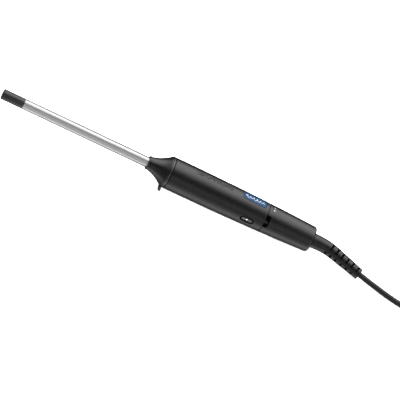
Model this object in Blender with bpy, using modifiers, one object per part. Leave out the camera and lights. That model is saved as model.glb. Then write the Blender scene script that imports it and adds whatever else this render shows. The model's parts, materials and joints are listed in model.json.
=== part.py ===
"""A slim curling wand on its foot, with its mains lead folded into a hank behind it.

The wand lies along its own axis, which runs from the cool tip to the cord exit. Its parts are
placed in that axis's frame: +X from the tip to the cord, +Z to the badge, -Y to the power button.
Stations along it are counted from just ahead of the tip's face. The empty "wand" carries that
frame and stands it on the foot and on the rear corner of the collar, so that the barrel is clear
of the table. The cord, its hank and its plug are placed in the world frame, where the table is
at z = 0.
"""

import math

import bmesh
import bpy
from mathutils import Matrix, Vector

mm = 0.001

# ---------------------------------------------------------------- driving dimensions
GAP = 0.3 * mm  # kept between pieces that touch
TURN_STEPS = 48  # facets round the outer pieces, which have a corner at the bottom and at each side
FINE_STEPS = 24  # facets round inner pieces
BUTTON_STEPS = 16  # facets round the button's window and the parts like it
SMALL_STEPS = 12  # facets round screws, pins and their holes
WIRE_STEPS = 2  # bevel resolution of wires and of the cord

BARREL_RADIUS = 5.0 * mm
BARREL_WALL = 0.7 * mm
BARREL_FROM = 21.5 * mm
BARREL_TO = 166.0 * mm

TIP_RADIUS = 5.05 * mm
TIP_FROM = 0.3 * mm
TIP_TO = 21.2 * mm
TIP_FACE_RADIUS = 4.65 * mm
TIP_PLUG_RADIUS = 4.0 * mm
TIP_PLUG_TO = 30.0 * mm

HEATER_FROM = 36.0 * mm
HEATER_TO = 136.0 * mm
PLATE_HALF_WIDTH = 2.75 * mm
PLATE_HALF_THICKNESS = 0.8 * mm
PLATE_FRONT_END = 1.5 * mm  # of the plate, beyond its bars
PLATE_REAR_END = 2.0 * mm
THERMISTOR_RADIUS = 0.9 * mm

FLANGE_FROM = 159.5 * mm
FLANGE_DISC_FROM = 163.6 * mm
FLANGE_TO = 164.6 * mm
FLANGE_HUB_RADIUS = 6.0 * mm
FLANGE_DISC_RADIUS = 8.7 * mm
WASHER_THICKNESS = 0.6 * mm
CLAMP_RING_FROM = 166.8 * mm
CLAMP_RING_TO = 170.0 * mm
CLAMP_RING_BORE = 4.4 * mm
CLAMP_RING_RADIUS = 10.8 * mm

NOSE_MOUTH = 148.0 * mm
NOSE_BORE = 5.35 * mm
NOSE_LIP_RADIUS = 6.6 * mm
NOSE_FLARE_FROM = (149.6 * mm, 6.4 * mm)
NOSE_FLARE_TO = (167.6 * mm, 15.1 * mm)
NOSE_FLARE_TURN = math.radians(29)
NOSE_RIM_RADIUS = 15.45 * mm
NOSE_RIM_TO = 170.3 * mm
NOSE_SPIGOT_RADIUS = 12.9 * mm
NOSE_SPIGOT_TO = 180.0 * mm
NOSE_CAVITY_RADIUS = 11.2 * mm

SLEEVE_FROM = 170.8 * mm
SLEEVE_TO = 267.5 * mm
SLEEVE_BORE = 12.5 * mm
SLEEVE_SOCKET = 13.2 * mm
HANDLE_FRONT_RADIUS = 15.4 * mm
HANDLE_TAPER = 3.0 * mm
HANDLE_TAPER_LENGTH = 146.8 * mm
HANDLE_TAPER_POWER = 2.3

COLLAR_FROM = 267.9 * mm
COLLAR_TO = 317.6 * mm
COLLAR_CORNER = 2.8 * mm
COLLAR_BORE = 11.3 * mm
COLLAR_END_WALL = 2.5 * mm
COLLAR_EXIT_RADIUS = 7.7 * mm

TAB_ANGLE = math.radians(65.5)  # of the first stop tab, from the badge towards the button
TAB_HALF_SPAN = math.radians(5)
TAB_RADIUS = 14.0 * mm
TAB_ROOT_RADIUS = 12.7 * mm
TAB_LENGTH = 3.2 * mm
NOTCH_ANGLE = math.radians(63)
NOTCH_HALF_SPAN = math.radians(24.5)
NOTCH_DEPTH = 4.0 * mm
STOP_TURNS = [math.radians(120 * k) for k in range(3)]  # of the tabs and their notches

FOOT_STATION = 168.9 * mm
FOOT_DEPTH = 19.6 * mm  # from the axis to the foot's sole
FOOT_THICKNESS = 2.6 * mm
FOOT_HALF_WIDTH = 7.5 * mm

BUTTON_STATION = 252.3 * mm
BUTTON_LENGTH = 11.8 * mm
BUTTON_WIDTH = 4.4 * mm
BUTTON_SLOT_MARGIN = 0.9 * mm
BUTTON_RECESS = 0.35 * mm

BADGE_FROM = 240.6 * mm
BADGE_TO = 264.0 * mm
BADGE_HALF_WIDTH = 4.1 * mm
BADGE_THICKNESS = 0.6 * mm
BADGE_CORNER = 1.2 * mm

SPIGOT_FROM = 263.0 * mm
SPIGOT_STEP = 266.7 * mm
SPIGOT_TO = 314.7 * mm
SPIGOT_FRONT_RADIUS = 12.2 * mm
SPIGOT_RADIUS = 10.9 * mm
SPIGOT_BORE = 9.6 * mm
SPIGOT_LEDGE = 306.0 * mm
SPIGOT_EXIT = 7.9 * mm
GROOVE_STATION = 284.8 * mm

BOARD_FROM = 186.0 * mm
BOARD_STEP = 261.0 * mm
BOARD_TO = 283.0 * mm
BOARD_TOP = -3.0 * mm
BOARD_THICKNESS = 1.6 * mm
POST_STATIONS = (190.0 * mm, 240.0 * mm)  # of the tray's posts and their screws
BOARD_HALF_WIDTH = 9.5 * mm
TONGUE_HALF_WIDTH = 7.0 * mm
PART_BASE = BOARD_TOP + GAP  # where the components stand

SELECTOR_STATION = 278.0 * mm
SLIDER_HALF_WIDTH = 2.6 * mm
SLIDER_TOP = -6.5 * mm
SLIDER_BOTTOM = -7.9 * mm
PIN_RADIUS = 1.0 * mm
PIN_TIP = 7.1 * mm

HUB_FROM = 286.4 * mm
HUB_SHOULDER = 299.4 * mm
HUB_FLANGE_FROM = 303.2 * mm
HUB_FLANGE_TO = 305.5 * mm
HUB_TO = 313.0 * mm
HUB_BORE = 1.5 * mm
HUB_STEM_RADIUS = 4.4 * mm
HUB_NECK_RADIUS = 6.0 * mm
HUB_FLANGE_RADIUS = 9.0 * mm
HUB_NIPPLE_RADIUS = 5.0 * mm  # which the boot is moulded over
RING_STATIONS = (289.6 * mm, 295.4 * mm)
RING_HALF_WIDTH = 1.3 * mm
RING_RADIUS = 6.0 * mm

CORD_RADIUS = 2.75 * mm
BOOT_ROOT_RADIUS = 7.1 * mm
BOOT_END_RADIUS = 5.2 * mm
BOOT_TAPER_FROM = 0.175  # of its length
BOOT_FROM = 306.3 * mm
BOOT_SLOT_PITCH = 6.2 * mm
BOOT_SLOT_WIDTH = 2.1 * mm
BOOT_SLOTS = 6  # in each row
BOOT_SLOT_FLOOR = 3.4 * mm
BOOT_LAST_SLOT = 4.05 * mm  # from the boot's end
# Each row of slots: its angle from the badge towards the button, half its span, in degrees, and
# its shift in pitches. The ribs between the rows hold the rings together.
BOOT_ROWS = ((12, 44, 0.0), (112.5, 25, 0.5), (195, 42, 0.0), (290, 23, 0.5))

HANK_CENTRE = (327.0 * mm, -7.4 * mm)
HANK_LIFT = 1.2 * mm  # of the waist, over the tie
HANK_LAYERS = 3
HANK_LOOP_RADIUS = 22.5 * mm  # of the outer turn's line
HANK_LOOP_CENTRE = 44.0 * mm  # from the hank's middle
HANK_WAIST_HALF_LENGTH = 8.0 * mm
HANK_WAIST_LINE = 8.25 * mm  # half the spacing of the outer turn's runs at the waist
TIE_WIDTH = 12.0 * mm
TIE_THICKNESS = 0.8 * mm

PLUG_REAR = 428.6 * mm
PLUG_RELIEF_LENGTH = 24.0 * mm
PLUG_BODY_LENGTH = 35.0 * mm
PLUG_WIDTH = 35.3 * mm
PLUG_HEIGHT = 13.7 * mm
PLUG_PIN_RADIUS = 2.0 * mm
PLUG_PIN_LENGTH = 19.0 * mm
PLUG_PIN_SPACING = 18.6 * mm
PLUG_PIN_SLEEVE = 10.0 * mm

# The middle of the bent boot, from the collar's face to its end, and then of the cord's free
# stretch to the hank: world points, laid by hand.
BOOT_BEND = [
    (174.8, -0.4, 11.18),
    (182.0, -2.1, 10.25),
    (189.3, -4.5, 9.12),
    (196.5, -6.8, 8.05),
    (203.7, -9.2, 7.05),
    (211.2, -11.9, 6.10),
]
CORD_LEAD = [
    (211.9, -12.05, 6.02),
    (216.0, -13.15, 5.45),
    (224.0, -15.1, 4.25),
    (232.0, -17.2, 3.40),
    (240.0, -19.9, 2.95),
    (248.0, -22.5, 2.75),
    (256.0, -25.0, 2.75),
    (264.0, -27.4, 2.75),
    (273.0, -29.4, 2.75),
    (283.0, -29.9, 2.75),
    (286.0, -29.9, 2.75),
]
CORD_TAIL = [
    (368.0, -29.9, 13.75),
    (371.0, -29.9, 13.75),
    (381.0, -29.4, 13.6),
    (392.0, -26.5, 12.0),
    (403.0, -21.0, 9.2),
    (414.0, -16.8, 7.6),
    (422.0, -15.0, 6.9),
    (428.2, -14.7, 6.85),
]

# ---------------------------------------------------------------- materials
FINISHES = {  # colour, roughness, metallic
    "black_plastic": ((0.018, 0.018, 0.019), 0.42, 0.0),
    "heat_resistant_plastic": ((0.02, 0.02, 0.021), 0.38, 0.0),
    "polished_aluminium": ((0.78, 0.78, 0.79), 0.16, 1.0),
    "rubber": ((0.016, 0.016, 0.017), 0.55, 0.0),
    "blue_badge": ((0.03, 0.13, 0.36), 0.3, 0.0),
    "clear_lens": ((0.85, 0.86, 0.84), 0.2, 0.0),
    "steel": ((0.55, 0.56, 0.57), 0.35, 1.0),
    "aluminium": ((0.7, 0.7, 0.72), 0.4, 1.0),
    "ceramic": ((0.86, 0.84, 0.79), 0.6, 0.0),
    "brass": ((0.72, 0.55, 0.24), 0.3, 1.0),
    "board": ((0.03, 0.2, 0.08), 0.5, 0.0),
    "grey_plastic": ((0.3, 0.3, 0.31), 0.5, 0.0),
    "component": ((0.05, 0.05, 0.06), 0.45, 0.0),
    "capacitor_yellow": ((0.75, 0.52, 0.06), 0.4, 0.0),
    "wire_insulation": ((0.45, 0.44, 0.42), 0.6, 0.0),
    "hook_tape": ((0.03, 0.03, 0.03), 0.9, 0.0),
}


def finish(name):
    """The material of that name, made the first time that it is asked for."""
    found = bpy.data.materials.get(name)
    if found:
        return found
    colour, roughness, metallic = FINISHES[name]
    made = bpy.data.materials.new(name)
    made.use_nodes = True
    shader = made.node_tree.nodes["Principled BSDF"]
    shader.inputs["Base Color"].default_value = (*colour, 1.0)
    shader.inputs["Roughness"].default_value = roughness
    shader.inputs["Metallic"].default_value = metallic
    return made


# ---------------------------------------------------------------- scene and helpers
for old in list(bpy.data.objects):
    bpy.data.objects.remove(old)


def collection(name):
    made = bpy.data.collections.new(name)
    bpy.context.scene.collection.children.link(made)
    return made


PARTS = collection("curling_wand")
CUTTERS = collection("cutters")


def empty(name, parent=None, matrix=None):
    made = bpy.data.objects.new(name, None)
    made.empty_display_size = 10 * mm
    PARTS.objects.link(made)
    made.parent = parent
    made.matrix_local = matrix or Matrix.Identity(4)
    return made


def add(name, data, look, parent=None, matrix=None):
    """A part with that look, or a cutter where look is None."""
    made = bpy.data.objects.new(name, data)
    if look is None:
        CUTTERS.objects.link(made)
        made.hide_render = True
        made.display_type = "WIRE"
    else:
        PARTS.objects.link(made)
        data.materials.append(finish(look))
    made.parent = parent
    made.matrix_local = matrix or Matrix.Identity(4)
    return made


def smooth(obj):
    obj.data.shade_smooth()
    obj.data.set_sharp_from_angle(angle=math.radians(35))


def mesh_from(name, build):
    """A mesh that build(bm) fills."""
    bm = bmesh.new()
    build(bm)
    mesh = bpy.data.meshes.new(name)
    bm.to_mesh(mesh)
    bm.free()
    return mesh


def signed_area(outline):
    return 0.5 * sum(
        a[0] * b[1] - b[0] * a[1] for a, b in zip(outline, outline[1:] + outline[:1])
    )


# The turned pieces are built about their own Z, which this turns onto the wand's X. Their first
# facet corner then lies at the bottom.
ALONG = Matrix.Rotation(math.radians(90), 4, "Y")


def turned(name, outline, look, parent, steps=TURN_STEPS):
    """A solid of revolution about the wand's axis, from (station, radius) points round its section."""
    ring = min(radius for _, radius in outline) > 0
    if signed_area(outline) < 0:
        outline = outline[::-1]
    if not ring:  # start on the axis, so that the open line runs over the outside
        while outline[0][1] > 0 or outline[-1][1] > 0:
            outline = outline[1:] + outline[:1]
    mesh = bpy.data.meshes.new(name)
    last = len(outline) - 1
    edges = [(i, i + 1) for i in range(last)] + ([(last, 0)] if ring else [])
    mesh.from_pydata([(radius, 0, station) for station, radius in outline], edges, [])
    made = add(name, mesh, look, parent, ALONG)
    turn = made.modifiers.new("turn", "SCREW")
    turn.axis = "Z"
    turn.steps = turn.render_steps = steps
    turn.use_merge_vertices = True
    turn.merge_threshold = 0.01 * mm
    turn.use_smooth_shade = True
    return made


def box(name, low, high, look, parent):
    """A block between two corners."""
    low, high = Vector(low), Vector(high)
    size = Matrix.Diagonal((*(high - low), 1.0))

    def build(bm):
        bmesh.ops.create_cube(
            bm, size=1.0, matrix=Matrix.Translation((low + high) / 2) @ size
        )

    return add(name, mesh_from(name, build), look, parent)


def rod(name, start, end, radius, look, parent, steps=FINE_STEPS):
    """A round bar from one point to another."""
    start, end = Vector(start), Vector(end)
    turn = (end - start).to_track_quat("Z", "Y").to_matrix().to_4x4()

    def build(bm):
        bmesh.ops.create_cone(
            bm,
            cap_ends=True,
            segments=steps,
            radius1=radius,
            radius2=radius,
            depth=(end - start).length,
            matrix=Matrix.Translation((start + end) / 2) @ turn,
        )

    made = add(name, mesh_from(name, build), look, parent)
    smooth(made)
    return made


def as_mesh(curve):
    """The curve object as a mesh object with welded caps, in its place."""
    bpy.context.view_layer.update()
    graph = bpy.context.evaluated_depsgraph_get()
    mesh = bpy.data.meshes.new_from_object(curve.evaluated_get(graph))
    bm = bmesh.new()
    bm.from_mesh(mesh)
    bmesh.ops.remove_doubles(bm, verts=bm.verts, dist=0.001 * mm)
    bmesh.ops.recalc_face_normals(bm, faces=bm.faces)
    bm.to_mesh(mesh)
    bm.free()
    name, parent, place = curve.name, curve.parent, curve.matrix_world.copy()
    homes = list(curve.users_collection)
    hidden, display = curve.hide_render, curve.display_type
    bpy.data.objects.remove(curve)
    made = bpy.data.objects.new(name, mesh)
    for home in homes:
        home.objects.link(made)
    made.parent = parent
    made.matrix_world = place
    made.hide_render, made.display_type = hidden, display
    return made


def slab(name, outline, thickness, place, look, parent):
    """A flat outline in the XY plane of place, as thick as that, half to each side."""
    curve = bpy.data.curves.new(name, "CURVE")
    curve.dimensions = "2D"
    curve.fill_mode = "BOTH"
    curve.extrude = thickness / 2
    spline = curve.splines.new("POLY")
    spline.points.add(len(outline) - 1)
    for point, (x, y) in zip(spline.points, outline):
        point.co = (x, y, 0, 1)
    spline.use_cyclic_u = True
    return as_mesh(add(name, curve, look, parent, place))


def wire(name, points, radius, look, parent):
    """A round wire along points, with closed ends."""
    curve = bpy.data.curves.new(name, "CURVE")
    curve.dimensions = "3D"
    curve.bevel_depth = radius
    curve.bevel_resolution = WIRE_STEPS
    curve.use_fill_caps = True
    spline = curve.splines.new("POLY")
    spline.points.add(len(points) - 1)
    for point, place in zip(spline.points, points):
        point.co = (*place, 1)
    return add(name, curve, look, parent)


def smooth_line(points, spacing):
    """Points about spacing apart on the smooth curve through points."""
    points = [Vector(p) for p in points]
    ends = [2 * points[0] - points[1], *points, 2 * points[-1] - points[-2]]
    line = []
    for before, start, end, after in zip(ends, ends[1:], ends[2:], ends[3:]):
        steps = max(1, round((end - start).length / spacing))
        for i in range(steps):
            t = i / steps
            line.append(
                0.5
                * (
                    2 * start
                    + (end - before) * t
                    + (2 * before - 5 * start + 4 * end - after) * t**2
                    + (3 * start - before - 3 * end + after) * t**3
                )
            )
    line.append(points[-1])
    return line


def in_metres(points):
    return [Vector(p) * mm for p in points]


def boolean(target, other, operation):
    step = target.modifiers.new(other.name, "BOOLEAN")
    step.operation = operation
    step.object = other
    step.solver = "EXACT"


def cut(target, *others):
    for other in others:
        boolean(target, other, "DIFFERENCE")


def join(target, *others):
    for other in others:
        boolean(target, other, "UNION")


def keep_common(target, other):
    boolean(target, other, "INTERSECT")


def arc(centre, radius, start, end, steps):
    """Points along an arc, with its angles from the first axis to the second."""
    return [
        (
            centre[0] + radius * math.cos(start + (end - start) * i / steps),
            centre[1] + radius * math.sin(start + (end - start) * i / steps),
        )
        for i in range(steps + 1)
    ]


def pill(length, width):
    """A slot's outline, its length along the first axis."""
    steps = 6
    half = (length - width) / 2
    right = arc((half, 0), width / 2, -math.pi / 2, math.pi / 2, steps)
    left = arc((-half, 0), width / 2, math.pi / 2, 3 * math.pi / 2, steps)
    return right + left


def rounded(length, width, corner):
    """A rectangle's outline with rounded corners, centred."""
    steps = 3
    x, y = length / 2 - corner, width / 2 - corner
    quarter = math.pi / 2
    return (
        arc((x, y), corner, 0, quarter, steps)
        + arc((-x, y), corner, quarter, 2 * quarter, steps)
        + arc((-x, -y), corner, 2 * quarter, 3 * quarter, steps)
        + arc((x, -y), corner, 3 * quarter, 4 * quarter, steps)
    )


def ring_sector(inner, outer, middle, half_span, steps=8):
    """Part of a ring seen along the wand, about an angle from the badge towards the button."""
    low, high = middle - half_span, middle + half_span
    return arc((0, 0), outer, low, high, steps) + arc((0, 0), inner, high, low, steps)


# The plane square to X, its first axis along Y and its second upwards.
END_ON = Matrix(((0, 0, 1, 0), (1, 0, 0, 0), (0, 1, 0, 0), (0, 0, 0, 1)))

# The plane of ring_sector: its first axis to the badge, its second to the button, its normal
# along the wand.
ACROSS = Matrix(((0, 0, 1, 0), (0, -1, 0, 0), (1, 0, 0, 0), (0, 0, 0, 1)))


def across(station):
    return Matrix.Translation((station, 0, 0)) @ ACROSS


def around(angle, radius, station):
    """The point at that angle from the badge towards the button."""
    return Vector((station, -radius * math.sin(angle), radius * math.cos(angle)))


def facing_button(station, depth):
    """A plane square to -Y, its first axis along the wand, depth out from the axis."""
    return Matrix.Translation((station, -depth, 0)) @ Matrix.Rotation(
        math.radians(90), 4, "X"
    )


def handle_radius(station):
    """The outer radius of the sleeve and collar, whose taper grows towards the rear."""
    share = (station - SLEEVE_FROM) / HANDLE_TAPER_LENGTH
    return HANDLE_FRONT_RADIUS - HANDLE_TAPER * max(share, 0.0) ** HANDLE_TAPER_POWER


def handle_line(start, end, steps, inset=0.0):
    """Points along the handle's outline."""
    stations = [start + (end - start) * i / steps for i in range(steps + 1)]
    return [(station, handle_radius(station) - inset) for station in stations]


# ---------------------------------------------------------------- the wand's stance
CORNER_STATION = COLLAR_TO - COLLAR_CORNER
CORNER_CENTRE = handle_radius(COLLAR_TO - COLLAR_CORNER) - COLLAR_CORNER


def stance():
    """The empty that stands the wand on its foot and on the collar's rear corner."""
    reach = CORNER_STATION - FOOT_STATION
    drop = FOOT_DEPTH - CORNER_CENTRE
    tilt = math.atan2(drop, reach) - math.asin(COLLAR_CORNER / math.hypot(reach, drop))
    height = FOOT_STATION * math.sin(tilt) + FOOT_DEPTH * math.cos(tilt)
    front = TIP_FROM * math.cos(tilt) - TIP_FACE_RADIUS * math.sin(tilt)
    back = (
        CORNER_STATION * math.cos(tilt) + CORNER_CENTRE * math.sin(tilt) + COLLAR_CORNER
    )
    place = Matrix.Translation((-(front + back) / 2, 0, height))
    return empty("wand", None, place @ Matrix.Rotation(tilt, 4, "Y")), tilt


wand, TILT = stance()


# ---------------------------------------------------------------- barrel and heater
def cool_tip():
    outline = [
        (TIP_FROM, 0),
        (TIP_FROM, TIP_FACE_RADIUS),
        (TIP_FROM + TIP_RADIUS - TIP_FACE_RADIUS, TIP_RADIUS),
        (TIP_TO, TIP_RADIUS),
        (TIP_TO, TIP_PLUG_RADIUS),
        (TIP_PLUG_TO, TIP_PLUG_RADIUS),
        (TIP_PLUG_TO, 0),
    ]
    turned("cool_tip", outline, "heat_resistant_plastic", wand)


def barrel_tube():
    inner = BARREL_RADIUS - BARREL_WALL
    outline = [
        (BARREL_FROM, inner),
        (BARREL_FROM, BARREL_RADIUS),
        (BARREL_TO, BARREL_RADIUS),
        (BARREL_TO, inner),
    ]
    turned("barrel_tube", outline, "polished_aluminium", wand)


def heater():
    """A flat ceramic heater clipped between two half-round bars that carry its heat to the tube."""
    plate_from = HEATER_FROM - PLATE_FRONT_END
    box(
        "heater_plate",
        (plate_from, -PLATE_HALF_WIDTH, -PLATE_HALF_THICKNESS),
        (HEATER_TO + PLATE_REAR_END, PLATE_HALF_WIDTH, PLATE_HALF_THICKNESS),
        "ceramic",
        wand,
    )
    radius, flat = BARREL_RADIUS - BARREL_WALL - GAP, PLATE_HALF_THICKNESS + GAP
    edge = math.acos(flat / radius)
    place = across((HEATER_FROM + HEATER_TO) / 2)
    for name, centre in (("heat_spreader_upper", 0.0), ("heat_spreader_lower", math.pi)):
        outline = arc((0, 0), radius, centre - edge, centre + edge, 10)
        slab(name, outline, HEATER_TO - HEATER_FROM, place, "aluminium", wand)
    rod(
        "thermistor",
        (TIP_PLUG_TO + GAP, 0, 0),
        (plate_from - GAP, 0, 0),
        THERMISTOR_RADIUS,
        "ceramic",
        wand,
        SMALL_STEPS,
    )


def barrel_mount():
    """What holds the barrel in the nose: a flange on the tube between mica, and a ceramic ring."""
    bore = BARREL_RADIUS + GAP
    turned(
        "barrel_flange",
        [
            (FLANGE_FROM, bore),
            (FLANGE_FROM, FLANGE_HUB_RADIUS),
            (FLANGE_DISC_FROM, FLANGE_HUB_RADIUS),
            (FLANGE_DISC_FROM, FLANGE_DISC_RADIUS),
            (FLANGE_TO, FLANGE_DISC_RADIUS),
            (FLANGE_TO, bore),
        ],
        "steel",
        wand,
        FINE_STEPS,
    )
    washer_from = FLANGE_TO + GAP
    for name, start, end, inner, outer in (
        ("mica_washer", washer_from, washer_from + WASHER_THICKNESS, bore, FLANGE_DISC_RADIUS),
        (
            "ceramic_clamp_ring",
            CLAMP_RING_FROM,
            CLAMP_RING_TO,
            CLAMP_RING_BORE,
            CLAMP_RING_RADIUS,
        ),
    ):
        section = [(start, inner), (start, outer), (end, outer), (end, inner)]
        turned(name, section, "ceramic", wand, FINE_STEPS)


# ---------------------------------------------------------------- nose cone and its foot
SCREW_CIRCLE = 9.0 * mm  # on which the chassis screws stand
SCREW_RADIUS = 1.1 * mm
SCREW_HOLE = SCREW_RADIUS + GAP
SCREW_HEAD_RADIUS = 2.0 * mm
SCREW_HEAD_HEIGHT = 1.3 * mm


def nose_flare(steps):
    """The concave flare, an arc that turns outwards from the lip to the rim."""
    (x0, r0), (x1, r1) = NOSE_FLARE_FROM, NOSE_FLARE_TO
    chord, slope = math.hypot(x1 - x0, r1 - r0), math.atan2(r1 - r0, x1 - x0)
    radius = chord / (2 * math.sin(NOSE_FLARE_TURN / 2))
    start = slope - NOSE_FLARE_TURN / 2
    centre = (x0 - radius * math.sin(start), r0 + radius * math.cos(start))
    first = start - math.pi / 2
    return arc(centre, radius, first, first + NOSE_FLARE_TURN, steps)


def nose_cone():
    lip = 0.3 * mm
    outline = [
        (NOSE_MOUTH, NOSE_BORE),
        (NOSE_MOUTH, NOSE_LIP_RADIUS - lip),
        (NOSE_MOUTH + lip, NOSE_LIP_RADIUS),
        (NOSE_FLARE_FROM[0] - lip, NOSE_LIP_RADIUS),
        *nose_flare(8),
        (NOSE_FLARE_TO[0] + 0.3 * mm, NOSE_RIM_RADIUS),
        (NOSE_RIM_TO - 0.3 * mm, NOSE_RIM_RADIUS),
        (NOSE_RIM_TO, NOSE_RIM_RADIUS - 0.3 * mm),
        (NOSE_RIM_TO, NOSE_SPIGOT_RADIUS),
        (NOSE_SPIGOT_TO, NOSE_SPIGOT_RADIUS),
        (NOSE_SPIGOT_TO, NOSE_CAVITY_RADIUS),
        (166.5 * mm, NOSE_CAVITY_RADIUS),
        (162.0 * mm, 8.4 * mm),
        (157.0 * mm, 6.4 * mm),
        (157.0 * mm, NOSE_BORE),
    ]
    nose = turned("nose_cone", outline, "heat_resistant_plastic", wand)
    join(nose, foot())
    for side in (-1, 1):
        near = (170.6 * mm, side * SCREW_CIRCLE, 0)
        far = (NOSE_SPIGOT_TO - 0.2 * mm, side * SCREW_CIRCLE, 0)
        boss = rod(f"nose_boss_{side}", near, far, 2.6 * mm, None, wand, BUTTON_STEPS)
        join(nose, boss)
        hole = rod(
            f"nose_boss_hole_{side}",
            (near[0] - 2 * mm, near[1], 0),
            (far[0] + 2 * mm, far[1], 0),
            SCREW_HOLE,
            None,
            wand,
            SMALL_STEPS,
        )
        cut(nose, hole)


def foot():
    """The fin under the nose's rim that the wand stands on. Its sole is level with the table."""
    root, shoulder, corner = 12.6 * mm, 9.5 * mm, 1.4 * mm
    sole = FOOT_DEPTH
    right = arc(
        (FOOT_HALF_WIDTH - corner, -(sole - corner)), corner, 0, -math.pi / 2, 4
    )
    left = [(-x, y) for x, y in right[::-1]]
    outline = [(shoulder, -root), *right, *left, (-shoulder, -root)]
    upright = Matrix.Rotation(-TILT, 4, "Y")
    sole_point = Matrix.Translation((FOOT_STATION, 0, -FOOT_DEPTH))
    place = sole_point @ upright @ Matrix.Translation((0, 0, FOOT_DEPTH)) @ END_ON
    return slab("foot_fin", outline, FOOT_THICKNESS, place, None, wand)


# ---------------------------------------------------------------- handle sleeve and badge
def badge_block(name, margin, depth, look):
    """The badge's shape: a rounded rectangle seen from above, following the handle."""
    length = BADGE_TO - BADGE_FROM + 2 * margin
    width = 2 * (BADGE_HALF_WIDTH + margin)
    outline = rounded(length, width, BADGE_CORNER + margin)
    middle = (BADGE_FROM + BADGE_TO) / 2
    height, above = 6.0 * mm, 1.0 * mm
    place = Matrix.Translation((middle, 0, HANDLE_FRONT_RADIUS + above - height / 2))
    block = slab(name, outline, height, place, look, wand)
    start, end, beyond = BADGE_FROM - 5 * mm, SLEEVE_TO + 5 * mm, 2 * mm
    inset = 0.05 * mm if look else -2.0 * mm
    under = 8.0 * mm
    outer_line = handle_line(start, end, 6, inset)
    outer = turned(
        f"{name}_outer", [(start, under), *outer_line, (end, under)], None, wand
    )
    core_line = handle_line(start, end, 6, depth)
    core = turned(
        f"{name}_core", [(start - beyond, 0), *core_line, (end + beyond, 0)], None, wand
    )
    keep_common(block, outer)
    cut(block, core)
    return block


def handle_sleeve():
    socket_to = NOSE_SPIGOT_TO + 2 * mm
    outline = [
        (SLEEVE_FROM, SLEEVE_SOCKET),
        *handle_line(SLEEVE_FROM, SLEEVE_TO, 10),
        (SLEEVE_TO, SLEEVE_BORE),
        (socket_to, SLEEVE_BORE),
        (socket_to, SLEEVE_SOCKET),
    ]
    sleeve = turned("handle_sleeve", outline, "black_plastic", wand)
    overlap = 2 * mm
    for k, turn in enumerate(STOP_TURNS):
        tab = slab(
            f"stop_tab_{k}",
            ring_sector(TAB_ROOT_RADIUS, TAB_RADIUS, TAB_ANGLE + turn, TAB_HALF_SPAN),
            TAB_LENGTH + overlap,
            across(SLEEVE_TO + (TAB_LENGTH - overlap) / 2),
            None,
            wand,
        )
        join(sleeve, tab)
    cut(sleeve, badge_block("badge_recess", GAP, BADGE_THICKNESS + GAP, None))
    slot = slab(
        "button_slot",
        pill(
            BUTTON_LENGTH + 2 * BUTTON_SLOT_MARGIN,
            BUTTON_WIDTH + 2 * BUTTON_SLOT_MARGIN,
        ),
        8.0 * mm,
        facing_button(BUTTON_STATION, 13.5 * mm),
        None,
        wand,
    )
    cut(sleeve, slot)
    badge_block("badge_plate", 0.0, BADGE_THICKNESS, "blue_badge")


# ---------------------------------------------------------------- power button
def power_button():
    """The pill-shaped button, with its window, the flange that keeps it in, and its plunger."""
    guide = empty("button_guide", wand, Matrix.Translation((BUTTON_STATION, 0, 0)))
    crown = handle_radius(BUTTON_STATION) - BUTTON_RECESS
    cap_back, flange_front, flange_back = 11.0 * mm, 11.3 * mm, 10.5 * mm
    button = slab(
        "power_button",
        pill(BUTTON_LENGTH, BUTTON_WIDTH),
        crown + 1.0 * mm - cap_back,
        facing_button(0, (crown + 1.0 * mm + cap_back) / 2),
        "black_plastic",
        guide,
    )
    skin = turned(
        "button_skin",
        [
            (BUTTON_STATION - 12 * mm, 0),
            *handle_line(
                BUTTON_STATION - 12 * mm, BUTTON_STATION + 12 * mm, 4, BUTTON_RECESS
            ),
            (BUTTON_STATION + 12 * mm, 0),
        ],
        None,
        wand,
    )
    keep_common(button, skin)
    flange = slab(
        "button_flange",
        pill(BUTTON_LENGTH + 3.2 * mm, BUTTON_WIDTH + 3.0 * mm),
        flange_front - flange_back,
        facing_button(0, (flange_front + flange_back) / 2),
        None,
        guide,
    )
    join(button, flange)
    stem_at = -5.0 * mm
    stem = rod(
        "button_stem",
        (stem_at, -flange_front, 0),
        (stem_at, -9.9 * mm, 0),
        1.3 * mm,
        None,
        guide,
        SMALL_STEPS,
    )
    join(button, stem)
    window_radius = 0.9 * mm
    hole = rod(
        "button_window_hole",
        (0, -16 * mm, 0),
        (0, -8 * mm, 0),
        window_radius + GAP,
        None,
        guide,
        BUTTON_STEPS,
    )
    cut(button, hole)
    rod(
        "button_window",
        (0, -crown + 0.1 * mm, 0),
        (0, -flange_back, 0),
        window_radius,
        "clear_lens",
        guide,
        BUTTON_STEPS,
    )
    rod(
        "switch_plunger",
        (stem_at, -9.6 * mm, 0),
        (stem_at, -7.9 * mm, 0),
        1.1 * mm,
        "grey_plastic",
        guide,
        SMALL_STEPS,
    )


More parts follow.
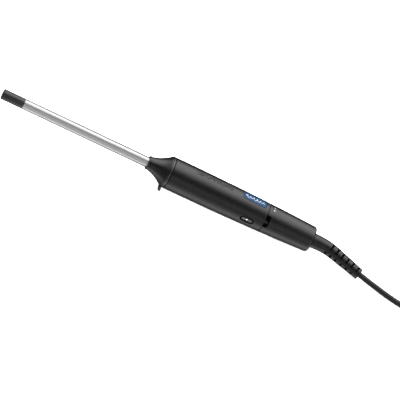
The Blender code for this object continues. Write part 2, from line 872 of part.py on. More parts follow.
# ---------------------------------------------------------------- chassis and electronics
def chassis_tray():
    """The trough that carries the board, with a front plate that two screws hold to the nose."""
    plate = turned(
        "chassis_tray",
        [
            (NOSE_SPIGOT_TO + 0.3 * mm, 4.2 * mm),
            (NOSE_SPIGOT_TO + 0.3 * mm, 12.0 * mm),
            (NOSE_SPIGOT_TO + 2.3 * mm, 12.0 * mm),
            (NOSE_SPIGOT_TO + 2.3 * mm, 4.2 * mm),
        ],
        "grey_plastic",
        wand,
        FINE_STEPS,
    )
    start, end = NOSE_SPIGOT_TO + 1.3 * mm, 245.0 * mm
    trough = slab(
        "tray_trough",
        ring_sector(10.7 * mm, 11.7 * mm, math.pi, math.radians(66), 12),
        end - start,
        across((start + end) / 2),
        None,
        wand,
    )
    join(plate, trough)
    for index, station in enumerate(POST_STATIONS):
        post = rod(
            f"tray_post_{index}",
            (station, 0, -11.2 * mm),
            (station, 0, BOARD_TOP - BOARD_THICKNESS - GAP),
            2.4 * mm,
            None,
            wand,
            SMALL_STEPS,
        )
        join(plate, post)
        hole = rod(
            f"tray_post_hole_{index}",
            (station, 0, -10.0 * mm),
            (station, 0, 0),
            SCREW_HOLE,
            None,
            wand,
            SMALL_STEPS,
        )
        cut(plate, hole)
    for side in (-1, 1):
        hole = rod(
            f"tray_screw_hole_{side}",
            (NOSE_SPIGOT_TO - 2 * mm, side * SCREW_CIRCLE, 0),
            (NOSE_SPIGOT_TO + 5 * mm, side * SCREW_CIRCLE, 0),
            SCREW_HOLE,
            None,
            wand,
            SMALL_STEPS,
        )
        cut(plate, hole)


def screw(name, under_head, direction, length):
    """A small pan-head screw from the point under its head."""
    under_head, direction = Vector(under_head), Vector(direction)
    middle = under_head - direction * SCREW_HEAD_HEIGHT / 2
    body = rod(name, middle, under_head + direction * length, SCREW_RADIUS, "steel", wand, SMALL_STEPS)
    top = under_head - direction * SCREW_HEAD_HEIGHT
    join(body, rod(f"{name}_head", top, under_head, SCREW_HEAD_RADIUS, None, wand, SMALL_STEPS))


def fasteners():
    for name, side in (("chassis_screw_near", -1), ("chassis_screw_far", 1)):
        under_head = (NOSE_SPIGOT_TO + 2.6 * mm, side * SCREW_CIRCLE, 0)
        screw(name, under_head, (-1, 0, 0), 10.0 * mm)
    for name, station in zip(("board_screw_front", "board_screw_rear"), POST_STATIONS):
        screw(name, (station, 0, PART_BASE), (0, 0, -1), 6.0 * mm)


def circuit_board():
    outline = [
        (BOARD_FROM, -BOARD_HALF_WIDTH),
        (BOARD_STEP, -BOARD_HALF_WIDTH),
        (BOARD_STEP, -TONGUE_HALF_WIDTH),
        (BOARD_TO, -TONGUE_HALF_WIDTH),
        (BOARD_TO, TONGUE_HALF_WIDTH),
        (BOARD_STEP, TONGUE_HALF_WIDTH),
        (BOARD_STEP, BOARD_HALF_WIDTH),
        (BOARD_FROM, BOARD_HALF_WIDTH),
    ]
    place = Matrix.Translation((0, 0, BOARD_TOP - BOARD_THICKNESS / 2))
    board = slab("circuit_board", outline, BOARD_THICKNESS, place, "board", wand)
    for index, station in enumerate(POST_STATIONS):
        hole = rod(
            f"board_hole_{index}",
            (station, 0, BOARD_TOP - 4 * mm),
            (station, 0, BOARD_TOP + 2 * mm),
            SCREW_HOLE,
            None,
            wand,
            SMALL_STEPS,
        )
        cut(board, hole)


def components():
    """What stands on the board."""
    base = PART_BASE
    box(
        "suppression_capacitor",
        (195 * mm, -3.2 * mm, base),
        (208 * mm, 3.2 * mm, 7.2 * mm),
        "capacitor_yellow",
        wand,
    )
    box("triac", (213 * mm, -5 * mm, base), (217 * mm, 5 * mm, 6.2 * mm), "component", wand)
    box("heat_sink", (217.4 * mm, -7 * mm, base), (219 * mm, 7 * mm, 7.6 * mm), "aluminium", wand)
    box(
        "control_chip",
        (223 * mm, -2.2 * mm, base),
        (230 * mm, 2.2 * mm, base + 1.7 * mm),
        "component",
        wand,
    )
    rod(
        "smoothing_capacitor",
        (234 * mm, 4.5 * mm, base),
        (234 * mm, 4.5 * mm, 5.5 * mm),
        2.6 * mm,
        "component",
        wand,
    )
    rod(
        "fuse",
        (222 * mm, 6.6 * mm, base + 1.7 * mm),
        (229 * mm, 6.6 * mm, base + 1.7 * mm),
        1.5 * mm,
        "ceramic",
        wand,
        BUTTON_STEPS,
    )
    rod(
        "indicator_led",
        (BUTTON_STATION, -9.3 * mm, 0),
        (BUTTON_STATION, -6.6 * mm, 0),
        1.3 * mm,
        "clear_lens",
        wand,
        BUTTON_STEPS,
    )
    switch_at = BUTTON_STATION - 5.0 * mm
    switch = box(
        "power_switch",
        (switch_at - 3 * mm, -8.8 * mm, base),
        (switch_at + 3 * mm, -4.8 * mm, 3 * mm),
        "component",
        wand,
    )
    bore = rod(
        "switch_bore",
        (switch_at, -10 * mm, 0),
        (switch_at, -6.9 * mm, 0),
        1.1 * mm + GAP,
        None,
        wand,
        SMALL_STEPS,
    )
    cut(switch, bore)


def leads():
    """The wires from the heater to the board, and from the swivel's contacts to the board."""
    for end, side in (("near", -1), ("far", 1)):
        heater_line = [
            (138.4, side * 1.3, 0),
            (150, side * 1.6, 0.3),
            (165, side * 2.0, 0.6),
            (176, side * 2.4, 0.6),
            (184, side * 3.0, 0),
            (188, side * 5.0, -1.0),
            (190.5, side * 6.2, -2.0),
        ]
        points = smooth_line(in_metres(heater_line), 4 * mm)
        wire(f"heater_lead_{end}", points, 0.6 * mm, "wire_insulation", wand)
        mains_line = [
            (286.7, side * 5.0, -6.4),
            (285.4, side * 5.0, -5.4),
            (284.4, side * 5.0, -3.6),
            (283.2, side * 5.0, -2.1),
            (281.0, side * 5.0, -1.7),
            (279.0, side * 5.0, -1.9),
        ]
        points = smooth_line(in_metres(mains_line), 1.5 * mm)
        wire(f"mains_lead_{end}", points, 0.6 * mm, "wire_insulation", wand)
    rod(
        "thermal_fuse",
        (171 * mm, 0, 5.6 * mm),
        (179 * mm, 0, 5.6 * mm),
        1.6 * mm,
        "ceramic",
        wand,
        BUTTON_STEPS,
    )


# ---------------------------------------------------------------- collar, spigot and selector
def temperature_collar():
    """The rear grip, which turns between two stops to choose the temperature."""
    corner = arc(
        (CORNER_STATION, CORNER_CENTRE), COLLAR_CORNER, math.pi / 2, 0, 6
    )
    groove = 0.8 * mm
    outline = [
        (COLLAR_FROM, COLLAR_BORE),
        *handle_line(COLLAR_FROM, CORNER_STATION - 1 * mm, 6),
        *corner,
        (COLLAR_TO, COLLAR_EXIT_RADIUS),
        (COLLAR_TO - COLLAR_END_WALL, COLLAR_EXIT_RADIUS),
        (COLLAR_TO - COLLAR_END_WALL, COLLAR_BORE),
        (GROOVE_STATION + groove, COLLAR_BORE),
        (GROOVE_STATION + groove, COLLAR_BORE + 0.9 * mm),
        (GROOVE_STATION - groove, COLLAR_BORE + 0.9 * mm),
        (GROOVE_STATION - groove, COLLAR_BORE),
    ]
    collar = turned("temperature_collar", outline, "black_plastic", wand)
    for k, turn in enumerate(STOP_TURNS):
        notch = slab(
            f"collar_notch_{k}",
            ring_sector(10.0 * mm, 16.0 * mm, NOTCH_ANGLE + turn, NOTCH_HALF_SPAN),
            2 * NOTCH_DEPTH,
            across(COLLAR_FROM),
            None,
            wand,
        )
        cut(collar, notch)
    socket = rod(
        "pin_socket",
        around(math.pi, 9.0 * mm, SELECTOR_STATION),
        around(math.pi, 12.8 * mm, SELECTOR_STATION),
        PIN_RADIUS + GAP,
        None,
        wand,
        SMALL_STEPS,
    )
    cut(collar, socket)
    rod(
        "collar_pin",
        around(math.pi, PIN_TIP, SELECTOR_STATION),
        around(math.pi, 12.4 * mm, SELECTOR_STATION),
        PIN_RADIUS,
        "steel",
        wand,
        SMALL_STEPS,
    )


def rear_spigot():
    """The tube fixed in the sleeve's rear end. The collar turns on it, and the cord's hub in it."""
    groove = 0.8 * mm
    outline = [
        (SPIGOT_FROM, SPIGOT_BORE),
        (SPIGOT_FROM, SPIGOT_FRONT_RADIUS),
        (SPIGOT_STEP, SPIGOT_FRONT_RADIUS),
        (SPIGOT_STEP, SPIGOT_RADIUS),
        (GROOVE_STATION - groove, SPIGOT_RADIUS),
        (GROOVE_STATION - groove, SPIGOT_RADIUS - 0.6 * mm),
        (GROOVE_STATION + groove, SPIGOT_RADIUS - 0.6 * mm),
        (GROOVE_STATION + groove, SPIGOT_RADIUS),
        (SPIGOT_TO, SPIGOT_RADIUS),
        (SPIGOT_TO, SPIGOT_EXIT),
        (SPIGOT_LEDGE, SPIGOT_EXIT),
        (SPIGOT_LEDGE, SPIGOT_BORE),
    ]
    spigot = turned("rear_spigot", outline, "black_plastic", wand, FINE_STEPS)
    window = slab(
        "spigot_window",
        ring_sector(8.0 * mm, 13.0 * mm, math.pi, math.radians(27)),
        2 * (PIN_RADIUS + 0.6 * mm),
        across(SELECTOR_STATION),
        None,
        wand,
    )
    cut(spigot, window)
    slab(
        "collar_retaining_ring",
        ring_sector(10.6 * mm, 11.9 * mm, 0.0, math.radians(160), 20),
        1.0 * mm,
        across(GROOVE_STATION),
        "steel",
        wand,
    )


def selector():
    """The three-position switch under the board's tongue, and the slider that the collar's pin moves."""
    half = 3.4 * mm
    box(
        "selector_switch",
        (SELECTOR_STATION - half, -6.4 * mm, -6.2 * mm),
        (SELECTOR_STATION + half, 6.4 * mm, BOARD_TOP - BOARD_THICKNESS - GAP),
        "component",
        wand,
    )
    guide = empty("selector_guide", wand, Matrix.Translation((SELECTOR_STATION, 0, 0)))
    slider = box(
        "selector_slider",
        (-2.6 * mm, -SLIDER_HALF_WIDTH, SLIDER_BOTTOM),
        (2.6 * mm, SLIDER_HALF_WIDTH, SLIDER_TOP),
        "grey_plastic",
        guide,
    )
    fork = box(
        "slider_fork",
        (-1.5 * mm, -1.7 * mm, SLIDER_BOTTOM - 1 * mm),
        (4.0 * mm, 1.7 * mm, SLIDER_TOP + 1 * mm),
        None,
        guide,
    )
    cut(slider, fork)


# ---------------------------------------------------------------- swivel
def swivel():
    """The cord's hub, its two slip rings, the contacts on them, and the plate that keeps it in."""
    turned(
        "swivel_hub",
        [
            (HUB_FROM, HUB_BORE),
            (HUB_FROM, HUB_STEM_RADIUS),
            (HUB_SHOULDER, HUB_STEM_RADIUS),
            (HUB_SHOULDER, HUB_NECK_RADIUS),
            (HUB_FLANGE_FROM, HUB_NECK_RADIUS),
            (HUB_FLANGE_FROM, HUB_FLANGE_RADIUS),
            (HUB_FLANGE_TO, HUB_FLANGE_RADIUS),
            (HUB_FLANGE_TO, HUB_NIPPLE_RADIUS),
            (HUB_TO, HUB_NIPPLE_RADIUS),
            (HUB_TO, HUB_BORE),
        ],
        "grey_plastic",
        wand,
        FINE_STEPS,
    )
    for name, station in zip(("slip_ring_front", "slip_ring_rear"), RING_STATIONS):
        turned(
            name,
            [
                (station - RING_HALF_WIDTH, HUB_STEM_RADIUS + GAP),
                (station - RING_HALF_WIDTH, RING_RADIUS),
                (station + RING_HALF_WIDTH, RING_RADIUS),
                (station + RING_HALF_WIDTH, HUB_STEM_RADIUS + GAP),
            ],
            "brass",
            wand,
            FINE_STEPS,
        )
    for name, station in zip(("contact_front", "contact_rear"), RING_STATIONS):
        slab(
            name,
            ring_sector(6.4 * mm, 7.0 * mm, math.pi, math.radians(50), 8),
            2.0 * mm,
            across(station),
            "brass",
            wand,
        )
    slab(
        "contact_block",
        ring_sector(7.4 * mm, 9.2 * mm, math.pi, math.radians(40), 8),
        11.0 * mm,
        across(sum(RING_STATIONS) / 2),
        "grey_plastic",
        wand,
    )
    slab(
        "swivel_retainer",
        ring_sector(6.5 * mm, 9.2 * mm, 0.0, math.radians(165), 20),
        1.6 * mm,
        across(302.0 * mm),
        "steel",
        wand,
    )


# ---------------------------------------------------------------- boot, cord and plug
cord_set = empty("cord_set")


def boot_line():
    """The boot's middle, straight along the wand's axis and then down and aside to the table."""
    axis_points = [
        wand.matrix_local @ Vector((station, 0, 0))
        for station in (BOOT_FROM, 312.0 * mm, COLLAR_TO, 326.0 * mm)
    ]
    return smooth_line(axis_points + in_metres(BOOT_BEND), 2.4 * mm)


def boot_radius(share):
    """Full over the smooth root, then tapering over the slotted part."""
    taper = max((share - BOOT_TAPER_FROM) / (1 - BOOT_TAPER_FROM), 0.0)
    return BOOT_ROOT_RADIUS + (BOOT_END_RADIUS - BOOT_ROOT_RADIUS) * taper


def strain_relief():
    line = boot_line()
    boot = wire("strain_relief_boot", line, 1.0, "rubber", cord_set)
    boot.data.bevel_resolution = 4
    for i, point in enumerate(boot.data.splines[0].points):
        point.radius = boot_radius(i / (len(line) - 1))
    boot = as_mesh(boot)
    radius, start, end = HUB_NIPPLE_RADIUS + GAP, BOOT_FROM - 6 * mm, HUB_TO + GAP
    outline = [(start, 0), (start, radius), (end, radius), (end, 0)]
    cut(boot, turned("boot_socket", outline, None, wand, FINE_STEPS))
    length = sum((b - a).length for a, b in zip(line, line[1:]))
    clear = 9.5 * mm
    for row, (middle, half_span, shift) in enumerate(BOOT_ROWS):
        sector = ring_sector(
            BOOT_SLOT_FLOOR, clear, math.radians(middle), math.radians(half_span), 6
        )
        for k in range(BOOT_SLOTS):
            place = square_to(line, length - BOOT_LAST_SLOT - BOOT_SLOT_PITCH * (k + shift))
            name = f"boot_slot_{row}_{k}"
            cut(boot, slab(name, sector, BOOT_SLOT_WIDTH, place, None, cord_set))


def square_to(line, distance):
    """The plane square to a line, so far along it: X upwards, Y to the button's side."""
    i = 0
    while distance > (line[i + 1] - line[i]).length:
        distance -= (line[i + 1] - line[i]).length
        i += 1
    normal = (line[i + 1] - line[i]).normalized()
    up = Vector((0, 0, 1))
    up = (up - normal * up.dot(normal)).normalized()
    turn = Matrix((up, normal.cross(up), normal)).transposed().to_4x4()
    return Matrix.Translation(line[i] + normal * distance) @ turn


def cord_stretches():
    for name, points in (("cord_lead", CORD_LEAD), ("cord_tail", CORD_TAIL)):
        line = smooth_line(in_metres(points), 3.4 * CORD_RADIUS)
        wire(name, line, CORD_RADIUS, "rubber", cord_set)


def hank_outline():
    """The hank's outline seen from above: two round ends and a waist where the tie holds it."""
    steps = 10
    outer = HANK_LOOP_RADIUS + CORD_RADIUS
    waist = HANK_WAIST_LINE + CORD_RADIUS
    run = HANK_LOOP_CENTRE - HANK_WAIST_HALF_LENGTH
    side = []
    for i in range(steps + 1):
        share = i / steps
        x = HANK_LOOP_CENTRE - run * share
        side.append((x, waist + (outer - waist) * (1 + math.cos(math.pi * share)) / 2))
    top = side + [(-x, y) for x, y in side[::-1]]
    right = arc((HANK_LOOP_CENTRE, 0), outer, -math.pi / 2, math.pi / 2, 14)
    left = arc((-HANK_LOOP_CENTRE, 0), outer, math.pi / 2, 3 * math.pi / 2, 14)
    return right[:-1] + top + left[1:-1] + [(x, -y) for x, y in top[::-1]][:-1]


def hank():
    """The rest of the cord as one block, which lies on its loops and is lifted at its tied waist."""
    height = HANK_LAYERS * 2 * CORD_RADIUS + HANK_LIFT
    x, y = HANK_CENTRE
    place = Matrix.Translation((x, y, height / 2))
    block = slab("cord_hank", hank_outline(), height, place, "rubber", cord_set)
    arch = 11.0 * mm
    under = box(
        "hank_lift",
        (x - arch, y - 40 * mm, -5 * mm),
        (x + arch, y + 40 * mm, HANK_LIFT),
        None,
        cord_set,
    )
    cut(block, under)
    margin = 0.5 * mm
    lead, tail = in_metres(CORD_LEAD[-4:]), in_metres(CORD_TAIL[:4])
    lead[-1].x += margin
    tail[0].x -= margin
    for name, line in (("lead_groove", lead), ("tail_groove", tail)):
        groove = wire(name, line, CORD_RADIUS + margin, None, cord_set)
        cut(block, as_mesh(groove))
    middle = HANK_LIFT + HANK_LAYERS * CORD_RADIUS
    inner_width = 2 * (HANK_WAIST_LINE + CORD_RADIUS + GAP)
    inner_height = HANK_LAYERS * 2 * CORD_RADIUS + 2 * GAP
    wrap = Matrix.Translation((x, y, middle)) @ END_ON
    tie = slab(
        "hank_tie",
        rounded(
            inner_width + 2 * TIE_THICKNESS, inner_height + 2 * TIE_THICKNESS, 1.4 * mm
        ),
        TIE_WIDTH,
        wrap,
        "hook_tape",
        cord_set,
    )
    hollow = slab(
        "tie_hollow",
        rounded(inner_width, inner_height, 0.5 * mm),
        2 * TIE_WIDTH,
        wrap,
        None,
        cord_set,
    )
    cut(tie, hollow)


def plug():
    """A flat two-pin plug, its pins away from the cord."""
    y = CORD_TAIL[-1][1] * mm
    z = PLUG_HEIGHT / 2
    body_from = PLUG_REAR + PLUG_RELIEF_LENGTH
    body_to = body_from + PLUG_BODY_LENGTH
    half, chamfer = PLUG_WIDTH / 2, 5.0 * mm
    outline = [
        (body_from, -7.0 * mm),
        (body_from + 14 * mm, -half),
        (body_to, -half),
        (body_to, half),
        (body_from + 14 * mm, half),
        (body_from, 7.0 * mm),
    ]
    body = slab(
        "plug_body", outline, PLUG_HEIGHT, Matrix.Translation((0, y, z)), "rubber", cord_set
    )
    edge = PLUG_HEIGHT / 2
    section = [
        (-half - 1 * mm, 0),
        (-half + chamfer, -edge),
        (half - chamfer, -edge),
        (half + 1 * mm, 0),
        (half - chamfer, edge),
        (-half + chamfer, edge),
    ]
    sides = slab(
        "plug_sides",
        section,
        PLUG_BODY_LENGTH + 20 * mm,
        Matrix.Translation(((body_from + body_to) / 2, y, z)) @ END_ON,
        None,
        cord_set,
    )
    keep_common(body, sides)
    relief = rod(
        "plug_relief",
        (PLUG_REAR, y, z),
        (body_from + 4 * mm, y, z),
        5.0 * mm,
        None,
        cord_set,
        FINE_STEPS,
    )
    join(body, relief)
    for end, side in (("near", -1), ("far", 1)):
        at = y + side * PLUG_PIN_SPACING / 2
        shoulder = (body_to + PLUG_PIN_SLEEVE, at, z)
        start = (body_to + GAP, at, z)
        rod(f"plug_pin_sleeve_{end}", start, shoulder, PLUG_PIN_RADIUS, "rubber", cord_set, BUTTON_STEPS)
        start = (shoulder[0] + GAP, at, z)
        tip = (body_to + PLUG_PIN_LENGTH, at, z)
        rod(f"plug_pin_{end}", start, tip, PLUG_PIN_RADIUS, "brass", cord_set, BUTTON_STEPS)


cool_tip()
barrel_tube()
heater()
barrel_mount()
nose_cone()
handle_sleeve()
power_button()
chassis_tray()
fasteners()
circuit_board()
components()
leads()
temperature_collar()
rear_spigot()
selector()
swivel()
strain_relief()
cord_stretches()
hank()
plug()
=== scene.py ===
"""The looks of a slim curling wand: camera, cord, fine surfaces, materials, floor and light.

Pieces are modelled in the wand's own frame, as in the CAD: X runs along the wand from just ahead of
the tip's face to the cord, Z points to the badge and -Y to the power button. The cord, its hank and
its plug are modelled in the row frame, where the table is at z = 0.
"""

import json
import math
from functools import partial

import bmesh
import bpy
from mathutils import Matrix, Vector

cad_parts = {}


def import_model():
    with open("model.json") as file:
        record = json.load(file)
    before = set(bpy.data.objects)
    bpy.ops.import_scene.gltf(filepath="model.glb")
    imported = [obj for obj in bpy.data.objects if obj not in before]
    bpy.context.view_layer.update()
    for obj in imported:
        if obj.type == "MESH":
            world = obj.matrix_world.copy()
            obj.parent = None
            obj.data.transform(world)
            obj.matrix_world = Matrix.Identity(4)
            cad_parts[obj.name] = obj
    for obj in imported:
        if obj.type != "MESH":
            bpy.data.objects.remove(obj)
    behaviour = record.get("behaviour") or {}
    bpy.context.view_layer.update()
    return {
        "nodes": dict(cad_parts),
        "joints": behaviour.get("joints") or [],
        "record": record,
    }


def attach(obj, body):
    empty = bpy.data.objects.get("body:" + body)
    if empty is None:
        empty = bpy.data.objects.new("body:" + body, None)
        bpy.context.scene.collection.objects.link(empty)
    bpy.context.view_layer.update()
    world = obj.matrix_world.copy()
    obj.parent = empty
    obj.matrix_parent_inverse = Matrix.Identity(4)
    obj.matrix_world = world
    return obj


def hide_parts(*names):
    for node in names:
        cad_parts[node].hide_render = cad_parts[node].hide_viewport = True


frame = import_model()

mm = 0.001

# -------- the wand's frame
SWIVEL_STATION = 300.0 * mm  # where the swivel joint's point lies along the wand
swivel = next(j for j in frame["joints"] if j["name"] == "cord_swivel")
ALONG = Vector(swivel["axis"]).normalized()
SIDE = Vector((0.0, 1.0, 0.0))
TOP = ALONG.cross(SIDE)
ORIGIN = Vector(swivel["pos_m"]) - ALONG * SWIVEL_STATION
WAND = Matrix.Translation(ORIGIN) @ Matrix((ALONG, SIDE, TOP)).transposed().to_4x4()
TABLE = Matrix.Identity(4)  # the row frame

# -------- sizes, as in the CAD
BARREL_RADIUS = 5.0 * mm
BARREL_WALL = 0.7 * mm
BARREL_FROM = 21.5 * mm
BARREL_TO = 166.0 * mm
TIP_RADIUS = 5.05 * mm
TIP_FROM = 0.3 * mm
TIP_TO = 21.2 * mm
TIP_FACE_RADIUS = 4.65 * mm
TIP_PLUG_RADIUS = 4.0 * mm
TIP_PLUG_TO = 30.0 * mm

NOSE_MOUTH = 148.0 * mm
NOSE_BORE = 5.35 * mm
NOSE_LIP_RADIUS = 6.6 * mm
NOSE_FLARE_FROM = (149.6 * mm, 6.4 * mm)
NOSE_FLARE_TO = (167.6 * mm, 15.1 * mm)
NOSE_FLARE_TURN = math.radians(29)
NOSE_RIM_RADIUS = 15.45 * mm
NOSE_RIM_TO = 170.3 * mm
NOSE_SPIGOT_RADIUS = 12.9 * mm
NOSE_SPIGOT_TO = 180.0 * mm
NOSE_CAVITY_RADIUS = 11.2 * mm
NOSE_HOLLOW = ((166.5 * mm, NOSE_CAVITY_RADIUS), (162.0 * mm, 8.4 * mm), (157.0 * mm, 6.4 * mm))

SLEEVE_FROM = 170.8 * mm
SLEEVE_TO = 267.5 * mm
SLEEVE_BORE = 12.5 * mm
SLEEVE_SOCKET = 13.2 * mm
HANDLE_FRONT_RADIUS = 15.4 * mm
HANDLE_TAPER = 3.0 * mm
HANDLE_TAPER_LENGTH = 146.8 * mm
HANDLE_TAPER_POWER = 2.3
HANDLE_EDGE = 0.35 * mm  # the rounding of the sleeve's and the collar's ends

COLLAR_FROM = 267.9 * mm
COLLAR_TO = 317.6 * mm
COLLAR_CORNER = 2.8 * mm
COLLAR_BORE = 11.3 * mm
COLLAR_END_WALL = 2.5 * mm
COLLAR_EXIT_RADIUS = 7.7 * mm
GROOVE_STATION = 284.8 * mm  # of the retaining ring inside the collar
TAB_ANGLE = math.radians(65.5)  # of the first stop tab, from the badge towards the button
TAB_HALF_SPAN = math.radians(5)
TAB_RADIUS = 14.0 * mm
TAB_ROOT_RADIUS = 12.7 * mm
TAB_LENGTH = 3.2 * mm
NOTCH_ANGLE = math.radians(63)
NOTCH_HALF_SPAN = math.radians(24.5)
NOTCH_DEPTH = 4.0 * mm
STOP_TURNS = [math.radians(120 * k) for k in range(3)]  # of the tabs and their notches

FOOT_STATION = 168.9 * mm
FOOT_DEPTH = 19.6 * mm
FOOT_THICKNESS = 2.6 * mm
FOOT_HALF_WIDTH = 7.5 * mm

BUTTON_STATION = 252.3 * mm
BUTTON_LENGTH = 11.8 * mm
BUTTON_WIDTH = 4.4 * mm
BUTTON_SLOT_MARGIN = 0.9 * mm
BUTTON_RECESS = 0.35 * mm
WINDOW_RADIUS = 0.9 * mm

BADGE_FROM = 240.6 * mm
BADGE_TO = 264.0 * mm
BADGE_HALF_WIDTH = 4.1 * mm
BADGE_THICKNESS = 0.6 * mm
BADGE_GAP = 0.3 * mm

PLUG_REAR = 428.6 * mm
PLUG_RELIEF_LENGTH = 24.0 * mm
PLUG_BODY_LENGTH = 35.0 * mm
PLUG_WIDTH = 35.3 * mm
PLUG_HEIGHT = 13.7 * mm
PLUG_PIN_RADIUS = 2.0 * mm
PLUG_PIN_LENGTH = 19.0 * mm
PLUG_PIN_SPACING = 18.6 * mm
PLUG_PIN_SLEEVE = 10.0 * mm

CORD_RADIUS = 2.75 * mm
BOOT_ROOT_RADIUS = 7.1 * mm
BOOT_END_RADIUS = 5.2 * mm
BOOT_TAPER_FROM = 0.175  # of its length
BOOT_FROM = 306.3 * mm
BOOT_SLOT_PITCH = 6.2 * mm
BOOT_SLOT_WIDTH = 2.1 * mm
BOOT_SLOTS = 6  # in each row
BOOT_SLOT_FLOOR = 3.4 * mm
BOOT_LAST_SLOT = 4.05 * mm  # from the boot's end
# Each row of slots: its angle from the badge towards the button, half its span, in degrees, and
# its shift in pitches. The ribs between the rows hold the rings together.
BOOT_ROWS = ((12, 44, 0.0), (112.5, 25, 0.5), (195, 42, 0.0), (290, 23, 0.5))

HANK_CENTRE = (327.0 * mm, -7.4 * mm)
HANK_LIFT = 1.2 * mm  # of its waist, over the tie's lower side
HANK_LIFT_FROM = 28.0 * mm  # from the waist's middle
HANK_LIFT_OVER = 20.0 * mm
HANK_LOOP_RADIUS = 22.5 * mm
HANK_LOOP_CENTRE = 44.0 * mm
HANK_WAIST_HALF_LENGTH = 8.0 * mm
HANK_WAIST_LINE = 8.25 * mm
TIE_WIDTH = 12.0 * mm
TIE_THICKNESS = 0.8 * mm

# The cord's route, as in the CAD: the boot's bend, the stretch to the hank and the one to the plug.
BOOT_BEND = [
    (174.8, -0.4, 11.18), (182.0, -2.1, 10.25), (189.3, -4.5, 9.12),
    (196.5, -6.8, 8.05), (203.7, -9.2, 7.05), (211.2, -11.9, 6.10),
]
CORD_LEAD = [
    (211.9, -12.05, 6.02), (216.0, -13.15, 5.45), (224.0, -15.1, 4.25), (232.0, -17.2, 3.40),
    (240.0, -19.9, 2.95), (248.0, -22.5, 2.75), (256.0, -25.0, 2.75), (264.0, -27.4, 2.75),
    (273.0, -29.4, 2.75), (283.0, -29.9, 2.75),
]
CORD_TAIL = [
    (371.0, -29.9, 13.75), (381.0, -29.4, 13.6), (392.0, -26.5, 12.0), (403.0, -21.0, 9.2),
    (414.0, -16.8, 7.6), (422.0, -15.0, 6.9), (428.2, -14.7, 6.85),
]

# -------- camera
VIEW_AZIMUTH = math.radians(-10.8)
VIEW_ELEVATION = math.radians(38)
VIEW_ROLL = math.radians(29.76)
VIEW_DISTANCE = 4.5
VIEW_WIDTH = 0.3668  # of what the picture shows at the wand
AIM_STATION = 207.15 * mm
AIM_BELOW = 10.73 * mm
SENSOR_WIDTH = 36.0


def added(name, data, place):
    """An object of that data, in the scene."""
    made = bpy.data.objects.new(name, data)
    bpy.context.scene.collection.objects.link(made)
    made.matrix_world = place
    return made


def make_camera():
    """A long lens, rolled so that the wand slopes down to the right."""
    back = Vector(
        (
            math.sin(VIEW_AZIMUTH) * math.cos(VIEW_ELEVATION),
            -math.cos(VIEW_AZIMUTH) * math.cos(VIEW_ELEVATION),
            math.sin(VIEW_ELEVATION),
        )
    )
    level = Vector((math.cos(VIEW_AZIMUTH), math.sin(VIEW_AZIMUTH), 0.0))
    right = level * math.cos(VIEW_ROLL) + back.cross(level) * math.sin(VIEW_ROLL)
    above = back.cross(ALONG).normalized()
    target = WAND @ Vector((AIM_STATION, 0, 0)) - above * AIM_BELOW
    turn = Matrix((right, back.cross(right), back)).transposed().to_4x4()
    place = Matrix.Translation(target + back * VIEW_DISTANCE) @ turn
    camera = added("camera", bpy.data.cameras.new("camera"), place)
    camera.data.sensor_width = SENSOR_WIDTH
    camera.data.lens = SENSOR_WIDTH * VIEW_DISTANCE / VIEW_WIDTH
    camera.data.clip_end = 4 * VIEW_DISTANCE
    bpy.context.scene.camera = camera


make_camera()


# -------- how finely things are drawn
TURN_STEPS = 160  # round the wand
PIN_STEPS = 32  # round a plug's pin
TUBE_STEPS = 64  # round the boot
OVAL_STEPS = 56  # round the plug's body
SECTOR_STEPS = 24  # along each arc of a ring sector
PILL_STEPS = 12  # round each end of a slot
FLARE_STEPS = 40  # along the nose's flare
EDGE_STEPS = 5  # over a rounded edge
RIM_STEPS = 6  # over the handle's ends
CORNER_STEPS = 14  # over the collar's rear corner
PLATE_RINGS = 6  # across a plate's top and bottom
HANDLE_SPACING = 1.2 * mm  # along the handle's outline
CORD_SPACING = 2.2 * mm  # along the cord
BOOT_SPACING = 0.8 * mm  # along the boot
TIE_SPACING = 0.9 * mm  # round the strap
WELD = 0.0005 * mm
SHARP_ANGLE = math.radians(35)  # between two faces, over which their edge is drawn sharp


# -------- lines and outlines
def smooth_line(points, spacing):
    """Points about spacing apart on the smooth curve (Catmull-Rom) through points."""
    points = [Vector(p) for p in points]
    ends = [2 * points[0] - points[1], *points, 2 * points[-1] - points[-2]]
    line = []
    for before, start, end, after in zip(ends, ends[1:], ends[2:], ends[3:]):
        steps = max(1, round((end - start).length / spacing))
        slope, bend = end - before, 2 * before - 5 * start + 4 * end - after
        twist = 3 * start - before - 3 * end + after
        for t in (i / steps for i in range(steps)):
            line.append(0.5 * (2 * start + slope * t + bend * t**2 + twist * t**3))
    line.append(points[-1])
    return line


def in_metres(points):
    return [Vector(p) * mm for p in points]


def arc(centre, radius, start, end, steps):
    """Points along an arc, with its angles from the first axis to the second."""
    return [
        (
            centre[0] + radius * math.cos(start + (end - start) * i / steps),
            centre[1] + radius * math.sin(start + (end - start) * i / steps),
        )
        for i in range(steps + 1)
    ]


def filleted(*corners, steps=EDGE_STEPS):
    """An outline from (x, y, fillet radius) corners, each rounded by an arc."""
    outline = []
    for i, (x, y, radius) in enumerate(corners):
        here = Vector((x, y))
        if radius == 0:
            outline.append((x, y))
            continue
        before, after = (
            (Vector(corners[j % len(corners)][:2]) - here).normalized() for j in (i - 1, i + 1)
        )
        half = before.angle(after) / 2
        reach = radius / math.tan(half)
        centre = here + (before + after).normalized() * radius / math.sin(half)
        first = here + before * reach - centre
        turn = first.angle_signed(here + after * reach - centre)
        for k in range(steps + 1):
            spoke = Matrix.Rotation(-turn * k / steps, 2) @ first
            outline.append(tuple(centre + spoke))
    return outline


